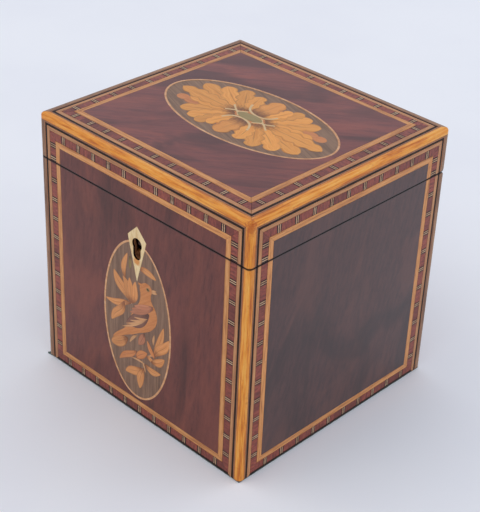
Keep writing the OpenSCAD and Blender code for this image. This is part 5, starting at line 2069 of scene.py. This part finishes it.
@dataclass
class Knob:
    """The turned bone knob of the inner lid."""

    finishes: Finishes
    seat: float = 88.0
    board_t: float = 4.0
    neck_r: float = 1.9
    foot_r: float = 5.4
    ball_r: float = 3.9
    height: float = 10.0
    around: int = 48

    def profile(self) -> list[Point]:
        """Returns (radius, height) from the bottom of the peg to the top of the ball."""
        z = self.seat
        ball_z = z + self.height - self.ball_r
        line = [(0.0, z - self.board_t), (self.neck_r, z - self.board_t), (self.neck_r, z), (self.foot_r, z)]
        line += [(self.foot_r, z + 0.35), (self.foot_r - 0.3, z + 0.6), (4.3, z + 0.72), (4.1, z + 0.95),
                 (3.3, z + 1.2), (2.3, z + 1.6), (self.neck_r, z + 2.1), (self.neck_r, z + 2.5)]
        start = math.asin(self.neck_r / self.ball_r)
        for i in range(19):
            angle = start + (math.pi - start) * i / 18
            line.append((self.ball_r * math.sin(angle), ball_z - self.ball_r * math.cos(angle)))
        return line

    def make(self) -> None:
        """Turns the profile round the middle of the lid."""
        mesher = Mesher()
        profile = self.profile()
        rings = []
        for radius, z in profile:
            if radius < 1e-6:
                rings.append([mesher.point(Vector((0, 0, z)))])
                continue
            turns = (2 * math.pi * k / self.around for k in range(self.around))
            ring = [Vector((radius * math.cos(a), radius * math.sin(a), z)) for a in turns]
            rings.append([mesher.point(spot) for spot in ring])
        for low, high, (_, z) in zip(rings, rings[1:], profile):
            for k in range(self.around):
                m = (k + 1) % self.around
                ids = [low[k % len(low)], low[m % len(low)], high[m % len(high)], high[k % len(high)]]
                ids = list(dict.fromkeys(ids))
                mesher.face(ids, 0, [(z, float(k))] * len(ids))
        piece = mesher.build("turned_knob", [self.finishes.knob], 40.0)
        place(piece, "inner_lid", "bone", "inner_lid_knob")


@dataclass
class Ironmongery:
    """The screws of the hinges, the lock and the link plate."""

    finishes: Finishes
    head_r: float = 1.1
    head_h: float = 0.6
    shank_r: float = 0.6
    slot_w: float = 0.35
    hinge_x: float = 35.0
    hinge_screw_x: float = 7.0
    hinge_y: float = 52.6
    link_y: float = -53.3
    link_screw_x: float = 12.5
    lock_y: float = -50.0
    in_wood: float = 5.0
    in_board: float = 4.0

    def set_of(self, tree: SlottedScrews, name: str, spots: list[tuple[float, float, float]], aim: Vector,
               length: float, body: str, node: str, seed: int) -> None:
        """Makes one set of screws.

        Args:
            tree: Tree of the screws.
            name: Name of the piece.
            spots: Middle of each head.
            aim: Way that the heads look.
            length: Length of a screw.
            body: CAD body that they move with.
            node: CAD node that they are shown for.
            seed: Seed of the turns of their slots.
        """
        sizes = {"Head radius": self.head_r, "Head height": self.head_h, "Shank radius": self.shank_r,
                 "Length": length, "Slot width": self.slot_w}
        piece = tree.run(name, guide_mesh(name, [Vector(s) for s in spots], []), {
            **{label: size * MM for label, size in sizes.items()}, "Aim": tuple(aim), "Seed": seed,
            "Steel": self.finishes.steel})
        place(piece, body, "steel", node)

    def make(self) -> None:
        """Makes every set of screws."""
        tree, both = SlottedScrews(), (-1, 1)
        spots = [(s * self.hinge_x + t * self.hinge_screw_x, self.hinge_y) for s in both for t in both]
        links = [(CADDY.motif_x + s * self.link_screw_x, self.link_y, CADDY.lid_foot) for s in both]
        low, high = ((corner / MM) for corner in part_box("lock_screws"))
        r, wood = self.head_r, self.in_wood
        locks = [(x, self.lock_y, z) for x in (low.x + r, high.x - r) for z in (low.z + r, high.z - r)]
        self.set_of(tree, "hinge_screws_body", [(x, y, CADDY.body_top) for x, y in spots], Z, wood, "box",
                    "hinge_body_screws", 1)
        self.set_of(tree, "hinge_screws_lid", [(x, y, CADDY.lid_foot) for x, y in spots], -Z, wood, "lid",
                    "hinge_lid_screws", 2)
        self.set_of(tree, "link_screws", links, -Z, wood, "lid", "link_plate_screws", 3)
        self.set_of(tree, "lock_screws_slotted", locks, Y, self.in_board, "box", "lock_screws", 4)


@dataclass
class Carcase:
    """The CAD nodes that keep their shape and get their finish."""

    finishes: Finishes

    def make(self) -> None:
        """Dresses every node that isn't replaced."""
        f = self.finishes
        for side in ("front", "right", "back", "left"):
            dress(getattr(f, side), f"{side}_veneer", f"lid_{side}_veneer")
        dress(f.top, "lid_top_veneer")
        dress(f.ring, "bird_oval_line", "patera_line")
        dress(f.carcase, "front_board", "back_board", "base_board", "ledge_fillets", "lid_top_board",
              "lid_front_rim", "lid_back_rim")
        dress(f.carcase_up, "left_board", "right_board", "lid_left_rim", "lid_right_rim")
        dress(f.inner_lid, "inner_lid_board")
        dress(f.foil, "inner_lid_foil")
        leaves = [f"hinge_{side}_{part}_leaf" for part in ("body", "lid") for side in ("left", "right")]
        dress(f.brass, *leaves, "link_plate", "lock_case", "lock_bolt")
        # The lock cap behind the keyhole takes the darkened brass: painted shade.
        dress(f.shaded_lock_brass, "lock_cap")
        dress(f.steel, "hinge_left_pin", "hinge_right_pin", "bolt_spring")
        dress(f.rust, "lock_drill_pin")


# ---- Studio ----


@dataclass
class Studio:
    """Camera, floor and soft lights."""

    target: tuple = (0.00072, -0.00028, 0.05608)
    azimuth: float = 43.215
    elevation: float = 31.733
    roll: float = 2.585
    distance: float = 0.5952
    lens: float = 97.42
    floor_half: float = 4.0
    sky: Colour = (224, 229, 241)
    sky_strength: float = 0.95

    def camera(self) -> None:
        """Makes the camera."""
        az, el, roll = (math.radians(a) for a in (self.azimuth, self.elevation, self.roll))
        back = Vector((math.sin(az) * math.cos(el), -math.cos(az) * math.cos(el), math.sin(el)))
        right = Z.cross(back).normalized()
        up = back.cross(right)
        level = right * math.cos(roll) + up * math.sin(roll)
        upright = up * math.cos(roll) - right * math.sin(roll)
        made = bpy.data.cameras.new("camera")
        made.sensor_fit = "VERTICAL"
        made.sensor_height = 36.0
        made.lens = self.lens
        made.clip_start = 0.01
        made.clip_end = 50.0
        holder = link("camera", made)
        turn = Matrix((level, upright, back)).transposed().to_4x4()
        holder.matrix_world = Matrix.Translation(Vector(self.target) + back * self.distance) @ turn
        bpy.context.scene.camera = holder

    def floor(self) -> None:
        """Makes the pale floor."""
        made, net, shader = new_material("Pale floor")
        cloud = net.noise(object_place(net), 9.0, 3.0, 0.5)
        net.feed(shader.inputs["Base Color"], net.blend(net.mask(cloud, 0.35, 0.65), tone(248, 248, 249),
                                                        tone(251, 251, 251)))
        fixed(shader, Roughness=0.9, Specular_IOR_Level=0.1)
        mesh = bpy.data.meshes.new("floor")
        mesh.from_pydata([(sx * self.floor_half, sy * self.floor_half, 0) for sx, sy in CORNERS], [],
                         [(0, 1, 2, 3)])
        mesh.materials.append(made)
        link("floor", mesh)

    def lamp(self, name: str, place_at: tuple, aim: tuple, size: float, power: float,
             colour: Colour) -> None:
        """Makes one soft square light.

        Args:
            name: Its name.
            place_at: Where it hangs, in metres.
            aim: The point that it looks at.
            size: Its side, in metres.
            power: Its power in watts.
            colour: Its colour.
        """
        made = bpy.data.lights.new(name, "AREA")
        made.shape = "SQUARE"
        made.size = size
        made.energy = power
        made.color = tone(*colour)[:3]
        holder = link(name, made)
        holder.location = place_at
        holder.rotation_euler = (Vector(place_at) - Vector(aim)).to_track_quat("Z", "Y").to_euler()

    def make(self) -> None:
        """Makes the studio."""
        scene = bpy.context.scene
        scene.view_settings.view_transform = "Standard"
        self.camera()
        world = bpy.data.worlds.new("soft sky")
        world.use_nodes = True
        sky = world.node_tree.nodes["Background"]
        sky.inputs["Color"].default_value = tone(*self.sky)
        sky.inputs["Strength"].default_value = self.sky_strength
        scene.world = world
        self.floor()
        middle = (0.0, 0.0, 0.06)
        self.lamp("key", (-0.7, -0.8, 1.3), middle, 1.2, 3.0, (255, 248, 240))
        self.lamp("back", (0.7, 1.2, 0.8), middle, 1.0, 2.5, (240, 244, 255))


def main() -> None:
    """Builds the caddy's looks piece by piece, and the studio."""
    logging.basicConfig(level=logging.INFO, format="%(name)s: %(message)s")
    Studio().make()
    finishes = Finishes()
    Carcase(finishes).make()
    Banding(finishes).make()
    Edging(finishes).make()
    BirdOval(PLANES[Face.FRONT], finishes).make()
    PateraOval(PLANES[Face.TOP], finishes).make()
    Escutcheon(finishes).make()
    BaizeFoot(finishes).make()
    FoilLining(finishes).make()
    Knob(finishes).make()
    Ironmongery(finishes).make()


if __name__ == "__main__":
    main()
